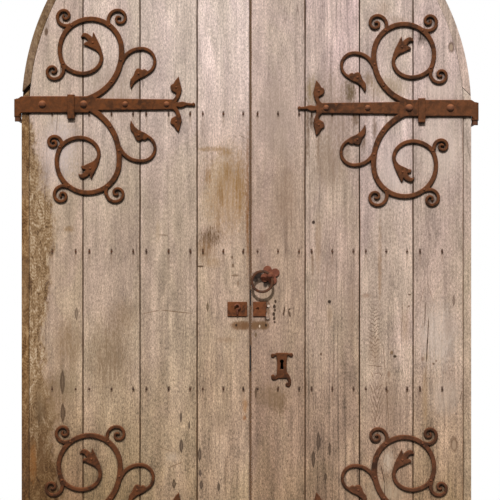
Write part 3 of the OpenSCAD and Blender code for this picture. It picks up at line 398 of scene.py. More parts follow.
# each board: its tint at the head, the middle and the foot, how strong its long lines and rings are, and its marks.
# spots and stains: pixel, half width and half height in pixels, colour, strength;
# cracks: two pixels, width, colour, strength
boards = {
    "left_board_1": {
        "head": (0.97, 0.95, 0.9), "middle": (1.08, 1.08, 1.06), "foot": (0.86, 0.82, 0.74),
        "lines": 0.4, "rings": 0.1,
        "spots": [
            (46.3, 31.8, 2, 4.4, (92, 66, 46), 0.85), (62.5, 382, 2.8, 13.5, (80, 61, 46), 0.9),
            (62.9, 413, 2.8, 11, (66, 45, 31), 0.85), (76.5, 313.5, 1.9, 7.5, (109, 90, 75), 0.9)],
        "stains": [
            (60, 148, 22, 44, (206, 189, 186), 0.8), (66, 384, 18, 22, (133, 114, 88), 0.8),
            (69, 229, 6.5, 4, (140, 108, 70), 1.0), (68, 345, 18, 34, (140, 114, 87), 0.95),
            (53.5, 383, 2.6, 7, (108, 84, 58), 0.8), (40, 410, 6, 20, (74, 56, 38), 0.75),
            (52, 398, 22, 34, (128, 102, 74), 0.75), (33, 462, 5, 26, (136, 88, 44), 0.8),
            (42, 452, 6, 30, (96, 68, 42), 0.8)],
        "cracks": [(64.6, 0, 59, 97, 0.55, (104, 82, 66), 0.85), (59, 97, 56, 135, 0.5, (112, 90, 72), 0.7)]},
    "left_board_2": {
        "head": (1.04, 1.05, 1.04), "middle": (1.03, 1.05, 1.05), "foot": (0.9, 0.92, 0.85),
        "lines": 0.35, "rings": 0.07,
        "spots": [],
        "stains": [
            (124, 315, 16, 20, (144, 118, 92), 0.6), (110, 355, 27, 52, (130, 106, 82), 0.95),
            (111, 92, 32, 40, (164, 143, 126), 0.8)],
        "cracks": []},
    "left_board_3": {
        "head": (1.09, 1.11, 1.14), "middle": (1.05, 1.07, 1.08), "foot": (1.13, 1.2, 1.22),
        "lines": 0.35, "rings": 0.07,
        "spots": [
            (181, 417, 1.4, 6.1, (75, 60, 50), 0.95), (189.3, 425, 1.1, 4.6, (78, 62, 51), 0.95),
            (181.3, 446, 2.2, 7.7, (71, 55, 46), 0.95), (174, 484, 2.1, 5.5, (69, 53, 38), 0.95)],
        "stains": [(172, 457, 9, 6, (190, 170, 150), 0.5), (158, 232, 3, 14, (160, 134, 106), 0.5)],
        "cracks": [
            (158.5, 234.8, 168, 235.2, 0.6, (110, 86, 62), 0.8), (142, 314, 160, 310, 0.55, (122, 96, 72), 0.75),
            (160, 310, 192, 313.5, 0.6, (112, 86, 62), 0.85), (154, 445, 173, 452, 0.5, (124, 98, 76), 0.7),
            (168, 468, 183, 462, 0.6, (120, 92, 66), 0.75)]},
    "left_board_4": {
        "head": (1.29, 1.33, 1.38), "middle": (1.03, 1.02, 1.0), "foot": (1.4, 1.5, 1.63),
        "lines": 0.4, "rings": 0.07,
        "spots": [
            (199.7, 454.5, 2.1, 7.7, (72, 56, 46), 0.95), (201.3, 485, 1.8, 5.1, (72, 56, 46), 0.95),
            (218.7, 487, 1.6, 4.6, (74, 58, 46), 0.95), (200.2, 473, 1.6, 4, (78, 62, 53), 0.95),
            (200.6, 266.4, 3.6, 1.2, (82, 60, 40), 0.9), (207.5, 307, 1.3, 5.2, (91, 72, 51), 0.9),
            (232.2, 257.3, 1, 1.8, (104, 80, 60), 0.85), (233, 265.5, 1.3, 2, (106, 80, 60), 0.85),
            (240.6, 325.4, 10, 4.9, (116, 82, 54), 0.72), (246, 325.6, 5, 4.6, (112, 78, 50), 0.6),
            (236.2, 325.2, 1.2, 1.5, (46, 30, 20), 0.95), (235, 275.5, 4, 1.2, (118, 94, 72), 0.75),
            (238, 283.5, 1.1, 2.6, (118, 92, 70), 0.75)],
        "stains": [
            (213, 149, 20, 3.4, (150, 118, 78), 0.95), (226, 153, 9, 3.6, (150, 116, 74), 0.95),
            (226, 190, 28, 54, (164, 130, 90), 0.85), (208, 177, 3.6, 11, (142, 102, 54), 0.95),
            (228, 172, 4.4, 14, (144, 108, 64), 0.85), (240, 190, 7, 44, (146, 108, 60), 0.85),
            (221, 196, 3.6, 16, (140, 104, 62), 0.85), (218, 222, 3, 16, (136, 102, 62), 0.75),
            (210.5, 237, 15, 13, (92, 64, 34), 1.0), (205, 250, 13, 12, (134, 100, 66), 0.9),
            (212, 262, 10, 7, (158, 126, 88), 0.7), (247.6, 205, 2.6, 84, (128, 84, 44), 1.0),
            (236.5, 325.6, 7, 5.6, (128, 97, 70), 1.0), (244.5, 325.8, 6.5, 5.6, (128, 97, 70), 1.0),
            (245, 406, 3.4, 10, (158, 112, 66), 0.75), (244.5, 418, 2.4, 3.4, (142, 92, 52), 0.8),
            (226, 340, 12, 4, (138, 108, 80), 0.6), (221, 425, 9, 20, (146, 120, 98), 0.5)],
        "cracks": [(239, 135, 245.5, 138.5, 0.55, (120, 96, 76), 0.7)]},
    "right_board_4": {
        "head": (0.95, 0.935, 0.925), "middle": (0.91, 0.87, 0.87), "foot": (1.08, 1.08, 1.16),
        "lines": 0.4, "rings": 0.07,
        "spots": [
            (255.5, 325.4, 6, 4.9, (112, 80, 52), 0.72), (262.5, 325.2, 6.6, 4.8, (104, 74, 46), 0.75),
            # the two near-black spots on the next line and the first spot on the line after are painted shadow of the
            # ring's boss on the wood
            (258.2, 275.4, 6, 4.6, (16, 8, 3), 0.95), (255.2, 279.2, 3.2, 3.4, (20, 11, 5), 0.92),
            (265.6, 283.6, 2.6, 4.4, (16, 8, 3), 0.9), (267.6, 303.6, 2.4, 3.4, (92, 66, 46), 0.75),
            (267.2, 319.2, 3.2, 2.8, (72, 50, 34), 0.85), (268.2, 311.4, 1.5, 4.4, (112, 84, 60), 0.75),
            (275.4, 301.5, 1.3, 2, (58, 40, 27), 0.95), (274.3, 306.6, 1.6, 2.2, (50, 34, 22), 0.95),
            (275, 310.2, 1.3, 1.8, (60, 42, 29), 0.9), (273.8, 314, 1.5, 2.3, (50, 34, 22), 0.95),
            (274.2, 318.4, 1.5, 2.1, (54, 37, 25), 0.95), (274.6, 322.2, 1.2, 1.5, (64, 45, 31), 0.9),
            (266, 325.2, 1.3, 1.7, (44, 29, 19), 0.95), (259.6, 326.2, 0.8, 1.6, (226, 206, 180), 0.9),
            (255.7, 335, 1.2, 2.6, (108, 84, 58), 0.8), (255.8, 393, 1.2, 6.5, (70, 50, 32), 0.9)],
        "stains": [
            (255, 325.6, 6.5, 5.6, (128, 97, 70), 1.0), (264, 325.4, 7.5, 5.6, (128, 97, 70), 1.0),
            (280, 404, 10, 15, (104, 80, 56), 0.85), (272, 396, 20, 16, (124, 98, 72), 0.75),
            (268, 296, 10, 9, (156, 134, 104), 0.45), (278, 118, 27, 52, (168, 147, 132), 0.8),
            (286, 195, 14, 46, (142, 116, 96), 0.75), (262, 238, 5, 9, (138, 112, 92), 0.55)],
        "cracks": [
            (284.9, 306.6, 283.2, 315.8, 1.1, (78, 56, 40), 0.95),
            (288.4, 310.2, 290.4, 308.6, 1.1, (74, 52, 37), 0.95),
            (288.6, 310.6, 290.2, 317, 1.3, (78, 56, 40), 0.9)]},
    "right_board_3": {
        "head": (1.05, 1.01, 1.07), "middle": (1.0, 1.0, 1.03), "foot": (1.03, 1.04, 1.11),
        "lines": 0.6, "rings": 0.24,
        "spots": [
            (329.4, 301.7, 1.9, 1.9, (46, 31, 20), 0.95), (321, 354, 1.2, 1.6, (88, 62, 44), 0.85),
            (318.5, 441, 2.3, 9.9, (76, 60, 49), 0.95), (313.3, 459, 2, 9.9, (69, 53, 41), 0.95),
            (329.7, 449, 1.4, 7.7, (69, 53, 41), 0.95), (325.5, 477, 1.6, 4.6, (69, 53, 41), 0.95),
            (313.5, 222.2, 1.7, 2, (46, 30, 22), 0.95)],
        "stains": [
            (332, 112, 27, 56, (149, 126, 108), 0.8), (307, 136, 3.6, 40, (108, 82, 60), 0.9),
            (311.6, 121, 3, 12, (62, 44, 30), 1.0), (318.5, 140, 3.6, 32, (124, 98, 76), 0.8),
            (350.5, 90, 7.5, 17, (100, 80, 52), 1.0), (312, 90, 8, 17, (148, 126, 92), 0.9),
            (355.5, 118, 6, 11, (108, 84, 60), 0.9), (330, 165, 22, 30, (146, 122, 102), 0.75),
            (312.6, 264, 1.6, 16, (116, 90, 68), 0.95), (318, 244, 4, 34, (148, 118, 90), 0.6),
            (329.5, 315, 3, 12, (150, 122, 94), 0.6), (352, 310, 5, 40, (150, 124, 102), 0.45)],
        "cracks": [
            (327.5, 262, 324.5, 300, 0.5, (128, 102, 82), 0.6), (334, 345, 332.5, 392, 0.4, (118, 92, 70), 0.6)]},
    "right_board_2": {
        "head": (1.0, 1.0, 1.0), "middle": (1.16, 1.19, 1.3), "foot": (0.98, 0.98, 1.0),
        "lines": 0.5, "rings": 0.12,
        "spots": [
            (394.9, 356.4, 1.9, 1.5, (60, 42, 28), 0.95), (391.6, 352.6, 1.7, 2.2, (118, 90, 62), 0.8),
            (409.6, 294.6, 1.4, 1, (88, 62, 44), 0.85), (408.8, 306.4, 1, 1.2, (104, 78, 56), 0.8),
            (388.8, 374.4, 1.7, 3.6, (134, 106, 86), 0.75), (387.4, 391, 1.4, 2.3, (110, 84, 66), 0.85)],
        "stains": [
            (366, 295.5, 6, 3, (142, 112, 90), 0.75), (379.8, 262, 2.4, 50, (142, 110, 80), 0.85),
            (405, 325, 6, 24, (152, 124, 94), 0.6), (374, 350, 8, 22, (148, 120, 96), 0.55),
            (386, 402, 24, 34, (140, 116, 96), 0.6), (387, 88, 27, 16, (168, 145, 118), 0.8),
            (384, 9, 9, 11, (146, 118, 96), 0.5), (396, 19, 12, 4, (152, 124, 102), 0.5),
            (374.5, 127, 3.4, 16, (112, 86, 64), 0.85), (362.5, 141, 4.5, 12, (112, 86, 64), 0.9),
            (368.5, 79, 6, 9, (132, 106, 78), 0.8), (396, 172, 22, 38, (212, 193, 184), 0.8),
            (387, 492, 26, 16, (175, 153, 129), 0.8), (388, 461, 7, 15, (202, 182, 162), 0.7)],
        "cracks": [
            (383, 344, 385.5, 375, 0.45, (108, 82, 62), 0.8), (385.5, 375, 389.5, 432, 0.5, (108, 82, 62), 0.75),
            (369, 365.5, 382, 366.6, 0.6, (112, 86, 66), 0.85), (371, 372, 373.5, 378, 0.5, (112, 86, 66), 0.8),
            (373.5, 374, 379.5, 372.8, 0.5, (112, 86, 66), 0.8), (379.5, 372.8, 382, 376.5, 0.6, (104, 78, 60), 0.8),
            (374, 391, 383, 384, 0.5, (116, 90, 70), 0.7), (369.5, 384, 373.6, 394, 0.5, (116, 90, 70), 0.7),
            (378, 404, 375, 422, 0.5, (112, 86, 66), 0.7), (380.6, 464, 384.8, 484, 0.6, (72, 50, 36), 0.95),
            (384.8, 484, 384.6, 499, 0.6, (72, 50, 36), 0.95), (384.4, 448, 383.8, 463, 0.4, (112, 86, 66), 0.75),
            (383.8, 463, 388, 468.5, 0.4, (112, 86, 66), 0.75), (373.6, 88, 373.4, 103, 0.5, (118, 92, 72), 0.7)]},
    "right_board_1": {
        "head": (1.0, 0.98, 1.01), "middle": (1.06, 1.08, 1.15), "foot": (1.11, 1.13, 1.1),
        "lines": 0.55, "rings": 0.2,
        "spots": [
            (451.2, 47.1, 3.4, 6.2, (92, 67, 48), 0.8), (451.2, 47.4, 1.9, 3.8, (178, 154, 134), 0.9),
            (454.2, 444, 4.2, 8.4, (104, 78, 58), 0.75), (454, 445, 2.4, 5.2, (164, 138, 114), 0.85),
            (433.5, 363.8, 1.3, 1.2, (92, 66, 48), 0.85), (436.2, 361, 1, 1.2, (120, 94, 76), 0.8),
            (422.6, 359, 1.8, 2.4, (138, 110, 90), 0.7), (453.8, 300.5, 1.5, 6.5, (110, 90, 77), 0.9)],
        "stains": [
            (440, 90, 20, 16, (219, 196, 183), 0.8), (422.5, 36, 8, 12, (56, 40, 26), 1.0),
            (440, 150, 24, 44, (216, 196, 184), 0.8), (426.5, 357, 4, 6, (172, 144, 108), 0.7),
            (425, 398, 3.6, 36, (160, 128, 90), 0.65), (438, 336, 24, 40, (208, 190, 178), 0.75),
            (446, 396, 20, 24, (186, 166, 150), 0.7), (448, 328, 6, 14, (162, 136, 120), 0.5)],
        "cracks": [
            (425.4, 302, 424.8, 326, 0.6, (86, 62, 44), 0.9), (428.6, 318, 427.4, 346, 0.7, (80, 56, 38), 0.9),
            (427.4, 338, 426.6, 362, 0.9, (66, 46, 30), 0.9), (426.6, 364, 424.2, 388, 0.5, (126, 98, 70), 0.7),
            (461.6, 391, 460, 401, 0.6, (96, 70, 50), 0.8), (427, 282, 434, 303, 0.4, (140, 114, 96), 0.6),
            (425, 285, 419.5, 303, 0.4, (140, 114, 96), 0.6)]}}
# the hanging edge and the meeting edge of each leaf, and the boards' shares of it
boardLines = {"left": (-0.7425, 0.0105, (0.27, 0.25, 0.25, 0.23)),
              "right": (0.7425, 0.0155, (0.265, 0.243, 0.247, 0.245))}
boardLook = {"shown": paint(176, 154, 136), "shift": (1.37, 0.61, 2.9), "relief": 0.5, "edge": 0.0016}


def acrossBoard(name, wanted):  # places across a board, as shares of its width
    side, number = name.split("_board_")
    hanging, meeting, shares = boardLines[side]
    k = int(number) - 1
    start = hanging + (meeting - hanging) * sum(shares[:k])
    return [start + (meeting - hanging) * shares[k] * s for s in wanted]


# rust stain and painted shade on the wood inside the small coils of the hinges
coilRustAndShade = {"half": 6.0, "tone": (78, 52, 33), "strength": 1.0, "at": [
    (65.1, 16.3), (119.2, 18.8), (53.4, 71), (62.2, 195.5), (116.8, 193), (53.7, 142.8),
    (428.9, 21.6), (376.1, 24), (440.3, 74.9), (430.6, 199.2), (376, 196.7), (441.9, 146.4),
    (64, 432.4), (117.8, 434.8), (52.3, 486.8), (428.9, 434.3), (376.7, 436.7), (440.3, 487.1)]}


def coilRustAndShadeMarks(name):
    low, high = sorted(x / photo["perPixel"] + photo["middle"] for x in acrossBoard(name, (0.0, 1.0)))
    return [(px, py, coilRustAndShade["half"], coilRustAndShade["half"], coilRustAndShade["tone"], coilRustAndShade["strength"])
            for px, py in coilRustAndShade["at"] if low - coilRustAndShade["half"] < px < high + coilRustAndShade["half"]]


# dirt along both edges of a board, apart from the boards that carry strips
jointDirt = {
    "rough": (160, 14, 3, 0.6), "fray": 0.005, "width": (0.0014, 0.0036), "tone": paint(106, 74, 48),
    "strength": 0.85, "lines": {"left_board_1": (1.0,), "right_board_1": (0.137, 1.0)}}


def addJointDirt(tree, place, axis, colour, name):
    near = nearestLine(tree, axis["X"], acrossBoard(name, jointDirt["lines"].get(name, (0.0, 1.0))))
    rough = minus(tree, noise(tree, place, *jointDirt["rough"]))
    near = addTimes(tree, rough, jointDirt["fray"], near)
    dirt = times(tree, fade(tree, near, *jointDirt["width"]), jointDirt["strength"])
    return mixColour(tree, dirt, colour, jointDirt["tone"])


# how the marks fray and how the stains break up; inner is where a mark starts to fade
markLook = {
    "noises": {"rough": (260, 90, 4, 0.65), "broken": (190, 55, 4, 0.65), "streaky": (170, 8, 3, 0.6)},
    "broken": (0.34, 0.62, 0.15, 0.5), "streaky": (0.36, 0.6, 0.15, 0.5), "depth": 0.03, "lensFrom": 2.4,
    "stains": {"inner": 0.2, "fray": 1.6}, "spots": {"inner": 0.62, "fray": 0.8}}


def addMarks(tree, place, colour, facts):
    seen = allNoises(tree, place, markLook["noises"])
    rough = minus(tree, seen["rough"])
    broken = calc(tree, "ADD", *(ease(tree, seen[name], *markLook[name]) for name in ("broken", "streaky")))
    for kind in ("stains", "spots"):
        frayed = times(tree, rough, markLook[kind]["fray"])
        for px, py, wide, tall, tone, strength in facts[kind]:
            lens = 1.0 if kind == "spots" and tall > markLook["lensFrom"] * wide else 0.0
            mark = placeGroup(tree, spot, {
                "Vector": place, "Rough": frayed, "Centre": fromPhoto(px, py), "Inner": markLook[kind]["inner"],
                "Lens": lens, "Size": markSize(wide, tall, markLook["depth"])})
            amount = times(tree, mark["Rim" if lens else "Mask"], strength)
            if kind == "stains":
                amount = times(tree, amount, broken)
            colour = mixColour(tree, amount, colour, paint(*tone))
    for x0, y0, x1, y1, wide, tone, strength in facts["cracks"]:
        line = placeGroup(tree, crack, {
            "Vector": place, "Rough": rough, "From": fromPhoto(x0, y0), "To": fromPhoto(x1, y1),
            "Width": wide * photo["perPixel"]})
        colour = mixColour(tree, times(tree, line["Mask"], strength), colour, paint(*tone))
    return colour


def addNailMarks(tree, place, colour, name):
    first, second, third = acrossBoard(name, nailMark["across"])
    stain = placeGroup(tree, nailStain, {
        "Vector": place, "First": first, "Second": second, "Third": third, "Row": nailMark["firstRow"],
        "Pitch": nailMark["pitch"]})
    for label in ("Run", "Dash"):
        amount = times(tree, stain[label], nailMark[label]["strength"])
        colour = mixColour(tree, amount, colour, nailMark[label]["tone"])
    return colour


# painted shade from an occlusion node, darkest right under the iron and also in joints and gaps; it stands too for
# rust and tannin washed down the wood
paintedShadeUnderIron = {"reach": 0.016, "tilt": (0.0, 0.0, 1.0), "samples": 8, "tone": paint(38, 25, 16),
             "cover": (0.42, 0.8, 0.95, 0.0)}


def addPaintedShadeUnderIron(tree, colour):
    facing = tree.nodes.new("ShaderNodeNewGeometry").outputs["Normal"]
    upward = vectorCalc(tree, "NORMALIZE", vectorCalc(tree, "ADD", facing, paintedShadeUnderIron["tilt"]))
    cover = addNode(tree, "ShaderNodeAmbientOcclusion", {"Distance": paintedShadeUnderIron["reach"], "Normal": upward},
                    samples=paintedShadeUnderIron["samples"])
    # painted shade: the wood darkens where the occlusion node finds something close above it
    return mixColour(tree, ease(tree, cover.outputs["AO"], *paintedShadeUnderIron["cover"]), colour, paintedShadeUnderIron["tone"])


# arrow-shaped figures low on one right-hand board
chevrons = {
    "tone": paint(92, 68, 50), "wobble": (85, 30), "wobbleBy": 0.03, "inner": 0.3, "crest": (0.3, 0.95),
    "right_board_2": [
        {"at": (374.5, 333), "half": (8.5, 42), "pitch": 0.0132, "slope": 0.75, "strength": 0.68},
        {"at": (377, 404), "half": (9, 30), "pitch": 0.03, "slope": 3.0, "strength": 0.8}]}


def addChevrons(tree, place, axis, colour, facts):
    centre = fromPhoto(*facts["at"])
    rise = addTimes(tree, apart(tree, axis["X"], centre[0]), -facts["slope"], axis["Z"])
    rise = calc(tree, "ADD", rise, times(tree, noise(tree, place, *chevrons["wobble"]), chevrons["wobbleBy"]))
    wave = calc(tree, "SINE", times(tree, rise, 2.0 * math.pi / facts["pitch"]))
    mark = placeGroup(tree, spot, {
        "Vector": place, "Rough": 0.0, "Centre": centre, "Inner": chevrons["inner"],
        "Size": markSize(*facts["half"], markLook["depth"])})
    amount = times(tree, mark["Mask"], ease(tree, wave, *chevrons["crest"], 0.0, facts["strength"]))
    return mixColour(tree, amount, colour, chevrons["tone"])


def dressBoard(name, number):
    facts = boards[name]
    material, tree, shader, place = newMaterial(name + "Oak", boardLook["shown"])
    shift = tuple(number * step for step in boardLook["shift"])
    grain, axis, colour = oakBase(tree, place, shift, facts)
    if name == "left_board_1":
        rot = placeGroup(tree, rottenEdge, {"Vector": place})
        colour = mixColour(tree, times(tree, rot["Mask"], decay["strength"]), colour, rot["Color"])
    for figure in chevrons.get(name, ()):
        colour = addChevrons(tree, place, axis, colour, figure)
    colour = addMarks(tree, place, colour, dict(facts, stains=facts["stains"] + coilRustAndShadeMarks(name)))
    colour = addJointDirt(tree, place, axis, colour, name)
    colour = addNailMarks(tree, place, colour, name)
    finishOak(tree, shader, grain, addPaintedShadeUnderIron(tree, colour), boardLook["relief"])
    return material


# loose triangles are welded first, then edges sharper than the angle are rounded
wornEdges = {"weld": 0.00002, "angle": 40.0, "profile": 0.5}


def wearEdges(name, width, segments=2):
    weld = nodes[name].modifiers.new("weld", "WELD")
    weld.merge_threshold = wornEdges["weld"]
    bevel = nodes[name].modifiers.new("wornEdges", "BEVEL")
    bevel.width = width
    bevel.segments = segments
    bevel.limit_method = "ANGLE"
    bevel.angle_limit = math.radians(wornEdges["angle"])
    bevel.profile = wornEdges["profile"]


def setMaterial(name, material):
    slots = nodes[name].material_slots
    if len(slots) == 0:
        nodes[name].data.materials.append(material)
    for slot in slots:
        slot.material = material


for number, name in enumerate(boards):
    setMaterial(name, dressBoard(name, number))
    wearEdges(name, boardLook["edge"])
print("boards dressed")

# edge strips and arch strips share the boards' grain; the left ones are rotten
stripLook = {"shown": paint(150, 118, 84), "shift": (0.83, 0.0, 3.1), "from": (5.0, 1.7, 0.0), "relief": 0.7,
             "patches": (20, 6, 3, 0.6), "patchRange": (0.3, 0.62), "leastRot": 0.6}
strips = {
    "left_edge_strip": {
        "head": (0.6, 0.5, 0.36), "middle": (0.6, 0.5, 0.36), "foot": (0.6, 0.52, 0.4),
        "lines": 0.6, "rings": 0.1, "rot": 0.95, "stain": (0.74, 0.62, 0.45, 1.0), "edge": 0.0018},
    "left_arch_strip": {
        "head": (0.6, 0.53, 0.42), "middle": (0.6, 0.53, 0.42), "foot": (0.6, 0.53, 0.42),
        "lines": 0.6, "rings": 0.1, "rot": 0.95, "stain": (0.58, 0.52, 0.44, 1.0), "edge": 0.0018},
    "right_edge_strip": {
        "head": (1.1, 1.1, 1.1), "middle": (1.04, 1.08, 1.11), "foot": (1.05, 1.15, 1.22),
        "lines": 0.5, "rings": 0.1, "rot": 0.06, "stain": plain, "edge": 0.0007},
    "right_arch_strip": {
        "head": (1.0, 0.98, 0.95), "middle": (1.0, 0.98, 0.95), "foot": (1.0, 0.98, 0.95),
        "lines": 0.5, "rings": 0.1, "rot": 0.08, "stain": plain, "edge": 0.0007}}


def dressStrip(name, number):
    facts = strips[name]
    material, tree, shader, place = newMaterial(name + "Oak", stripLook["shown"])
    shift = tuple(number * step + start for step, start in zip(stripLook["shift"], stripLook["from"]))
    grain, _, colour = oakBase(tree, place, shift, facts)
    rot = placeGroup(tree, rottenEdge, {"Vector": place})
    patch = ease(tree, noise(tree, place, *stripLook["patches"]), *stripLook["patchRange"],
                 stripLook["leastRot"] * facts["rot"], facts["rot"])
    colour = mixColour(tree, patch, colour, tintBy(tree, rot["Color"], facts["stain"]))
    finishOak(tree, shader, grain, addPaintedShadeUnderIron(tree, colour), stripLook["relief"])
    return material


for number, name in enumerate(strips):
    setMaterial(name, dressStrip(name, number))
    wearEdges(name, strips[name]["edge"])

# ledges on the back, with the grain turned to lie along them
ledgeLook = {
    "shown": paint(150, 118, 88), "turn": 90.0, "shift": (3.1, 7.7, 0.4), "relief": 0.4, "edge": 0.003, "segments": 3,
    "tones": [(0.25, paint(112, 84, 60)), (0.5, paint(146, 114, 84)), (0.75, paint(172, 142, 112))],
    "fleck": 0.9, "swings": {"Mottle": 0.5, "Lines": 0.7}, "checks": 0.7}


def dressLedge():
    material, tree, shader, place = newMaterial("ledgeOak", ledgeLook["shown"])
    turn = (0.0, math.radians(ledgeLook["turn"]), 0.0)
    turned = addNode(tree, "ShaderNodeMapping", {"Vector": place, "Rotation": turn})
    grain = placeGroup(tree, oakGrain, {"Vector": turned.outputs[0], "Shift": ledgeLook["shift"]})
    colour = ramp(tree, grain["Streak"], ledgeLook["tones"])
    tone = swing(tree, grain["Fleck"], ledgeLook["fleck"])
    for label, amount in ledgeLook["swings"].items():
        tone = times(tree, tone, swing(tree, grain[label], amount))
    colour = shade(tree, colour, tone)
    colour = mixColour(tree, times(tree, grain["Checks"], ledgeLook["checks"]), colour, oakTones["checks"])
    finishOak(tree, shader, grain, colour, ledgeLook["relief"])
    return material


ledgeOak = dressLedge()
for name in nodes:
    if "_ledge_" in name:
        setMaterial(name, ledgeOak)
        wearEdges(name, ledgeLook["edge"], ledgeLook["segments"])
print("strips and ledges dressed")

# forged iron: broad heat colours, rust bloom, pits and hammer dimples, and how far each stands out or in
ironGrain = {
    "noises": {"broad": (15, 15, 4, 0.6), "bloom": (60, 60, 5, 0.68, 0.4), "pits": (420, 420, 3, 0.6)},
    "rust": (0.42, 0.64), "pits": (0.56, 0.7), "hammer": (62, 62, 62), "hammerSoft": 0.8,
    "bloomHeight": 0.5, "hammerHeight": 0.7, "pitDepth": 0.35}


def makeForgedIron():
    tree, start, end = newGroup("forgedIron", {"Vector": "Vector", "Bloom": "Float"},
                                dict.fromkeys(("Broad", "Rust", "Pits", "Height"), "Float"))
    seen = allNoises(tree, start["Vector"], ironGrain["noises"])
    rust = ease(tree, calc(tree, "ADD", seen["bloom"], start["Bloom"]), *ironGrain["rust"])
    pits = ease(tree, seen["pits"], *ironGrain["pits"])
    hammer = addNode(tree, "ShaderNodeTexVoronoi", {
        "Vector": vectorCalc(tree, "MULTIPLY", start["Vector"], ironGrain["hammer"]), "Scale": 1.0,
        "Smoothness": ironGrain["hammerSoft"]}, feature="SMOOTH_F1")
    height = times(tree, hammer.outputs["Distance"], ironGrain["hammerHeight"])
    height = addTimes(tree, seen["bloom"], ironGrain["bloomHeight"], height)
    height = minus(tree, height, times(tree, pits, ironGrain["pitDepth"]))
    feedAll(tree, {"Broad": seen["broad"], "Rust": rust, "Pits": pits, "Height": height}, end)
    return tree


forgedIron = makeForgedIron()
# colours, how much rust blooms, how strong the painted highlight on edges facing up and the painted shade on edges
# facing down are, the radius its edges look rounded to, and how metallic and shiny it is
ironFinishes = {
    "wroughtIron": {"dark": (60, 35, 18), "mid": (94, 55, 29), "rust": (122, 72, 41), "bloom": 0.0,
                    "paintedLighting": 0.5, "paintedShade": 0.85, "round": 0.006, "metal": 0.0, "shine": 0.12},
    "rustyIron": {"dark": (62, 36, 21), "mid": (104, 61, 36), "rust": (128, 76, 46), "bloom": 0.06,
                  "paintedLighting": 0.4, "paintedShade": 0.7, "round": 0.003, "metal": 0.0, "shine": 0.12},
    "redIron": {"dark": (78, 44, 30), "mid": (118, 68, 49), "rust": (142, 88, 66), "bloom": 0.0,
                "paintedLighting": 0.3, "paintedShade": 0.6, "round": 0.003, "metal": 0.0, "shine": 0.15},
    "boltIron": {"dark": (78, 45, 26), "mid": (112, 66, 40), "rust": (134, 82, 52), "bloom": 0.0,
                 "paintedLighting": 0.8, "paintedShade": 0.8, "round": 0.0016, "metal": 0.0, "shine": 0.2},
    "darkIron": {"dark": (52, 32, 20), "mid": (80, 49, 30), "rust": (108, 65, 40), "bloom": -0.02,
                 "paintedLighting": 0.0, "paintedShade": 0.0, "round": 0.0016, "metal": 0.0, "shine": 0.25},
    "dullSteel": {"dark": (98, 88, 80), "mid": (142, 130, 118), "rust": (120, 84, 58), "bloom": -0.06,
                  "paintedLighting": 0.0, "paintedShade": 0.0, "round": 0.001, "metal": 0.4, "shine": 0.4},
    "oldSteel": {"dark": (112, 84, 62), "mid": (204, 182, 160), "rust": (122, 82, 54), "bloom": -0.04,
                 "paintedLighting": 0.0, "paintedShade": 0.0, "round": 0.001, "metal": 0.3, "shine": 0.5}}
# what all finishes share: tints low down and to the right, colours of the painted highlight on edges facing up and the
# painted shade on edges facing down, roughness, relief
ironLook = {
    "heat": (0.32, 0.6), "rust": 0.7, "pits": 0.5, "pitTone": paint(40, 24, 15),
    "low": (0.76, 0.77, 0.86, 1.0), "lowHeight": (0.8, 1.3), "right": (1.03, 1.12, 1.38, 1.0), "rightFrom": (0.0, 0.3),
    "paintedLighting": paint(160, 102, 66), "highlightFacing": (0.1, 0.7), "paintedShade": paint(26, 16, 10), "shadeFacing": (-0.65, -0.08),
    "roughness": (0.0, 1.0, 0.62, 0.88), "relief": (0.6, 0.0016), "samples": 6, "edge": 0.0009}
# endings of the names of the pieces that take each finish
ironPieces = {
    "wroughtIron": ("_hinge", "_collar", "keyhole_plate"), "boltIron": ("_bolts",),
    "darkIron": ("_pintle", "_nails", "pull_ring", "lock_case", "lock_keep"),
    "redIron": ("ring_rosette", "ring_boss", "hasp_staple"), "rustyIron": ("_rivets", "ring_rove", "_hasp_plate"),
    "oldSteel": ("hasp_screws",), "dullSteel": ("lock_bolt",)}
softenedIron = (
    "lock_case", "lock_keep", "lock_bolt", "keyhole_plate", "left_hasp_plate", "right_hasp_plate", "ring_rosette")


def dressIron(name):
    facts = ironFinishes[name]
    material, tree, shader, place = newMaterial(name, paint(*facts["mid"]))
    iron = placeGroup(tree, forgedIron, {"Vector": place, "Bloom": facts["bloom"]})
    heat = ease(tree, iron["Broad"], *ironLook["heat"])
    colour = mixColour(tree, heat, paint(*facts["dark"]), paint(*facts["mid"]))
    colour = mixColour(tree, times(tree, iron["Rust"], ironLook["rust"]), colour, paint(*facts["rust"]))
    colour = mixColour(tree, times(tree, iron["Pits"], ironLook["pits"]), colour, ironLook["pitTone"])
    axis = split(tree, place)
    high = ease(tree, axis["Z"], *ironLook["lowHeight"])
    colour = tintBy(tree, colour, mixColour(tree, high, ironLook["low"], plain))
    right = ease(tree, axis["X"], *ironLook["rightFrom"])
    colour = tintBy(tree, colour, mixColour(tree, right, plain, ironLook["right"]))
    rounded = addNode(tree, "ShaderNodeBevel", {"Radius": facts["round"]}, samples=ironLook["samples"]).outputs[0]
    # painted light: edges whose rounded normal faces up are painted lighter as a highlight, and those facing down
    # darker as shade
    up = split(tree, rounded)["Z"]
    paintedLighting = ease(tree, up, *ironLook["highlightFacing"], 0.0, facts["paintedLighting"])
    colour = mixColour(tree, paintedLighting, colour, ironLook["paintedLighting"])
    paintedShade = ease(tree, up, *ironLook["shadeFacing"], facts["paintedShade"], 0.0)
    feed(tree, mixColour(tree, paintedShade, colour, ironLook["paintedShade"]), shader.inputs["Base Color"])
    feed(tree, ease(tree, iron["Rust"], *ironLook["roughness"]), shader.inputs["Roughness"])
    shader.inputs["Metallic"].default_value = facts["metal"]
    shader.inputs["Specular IOR Level"].default_value = facts["shine"]
    bump(tree, shader, iron["Height"], *ironLook["relief"], rounded)
    return material


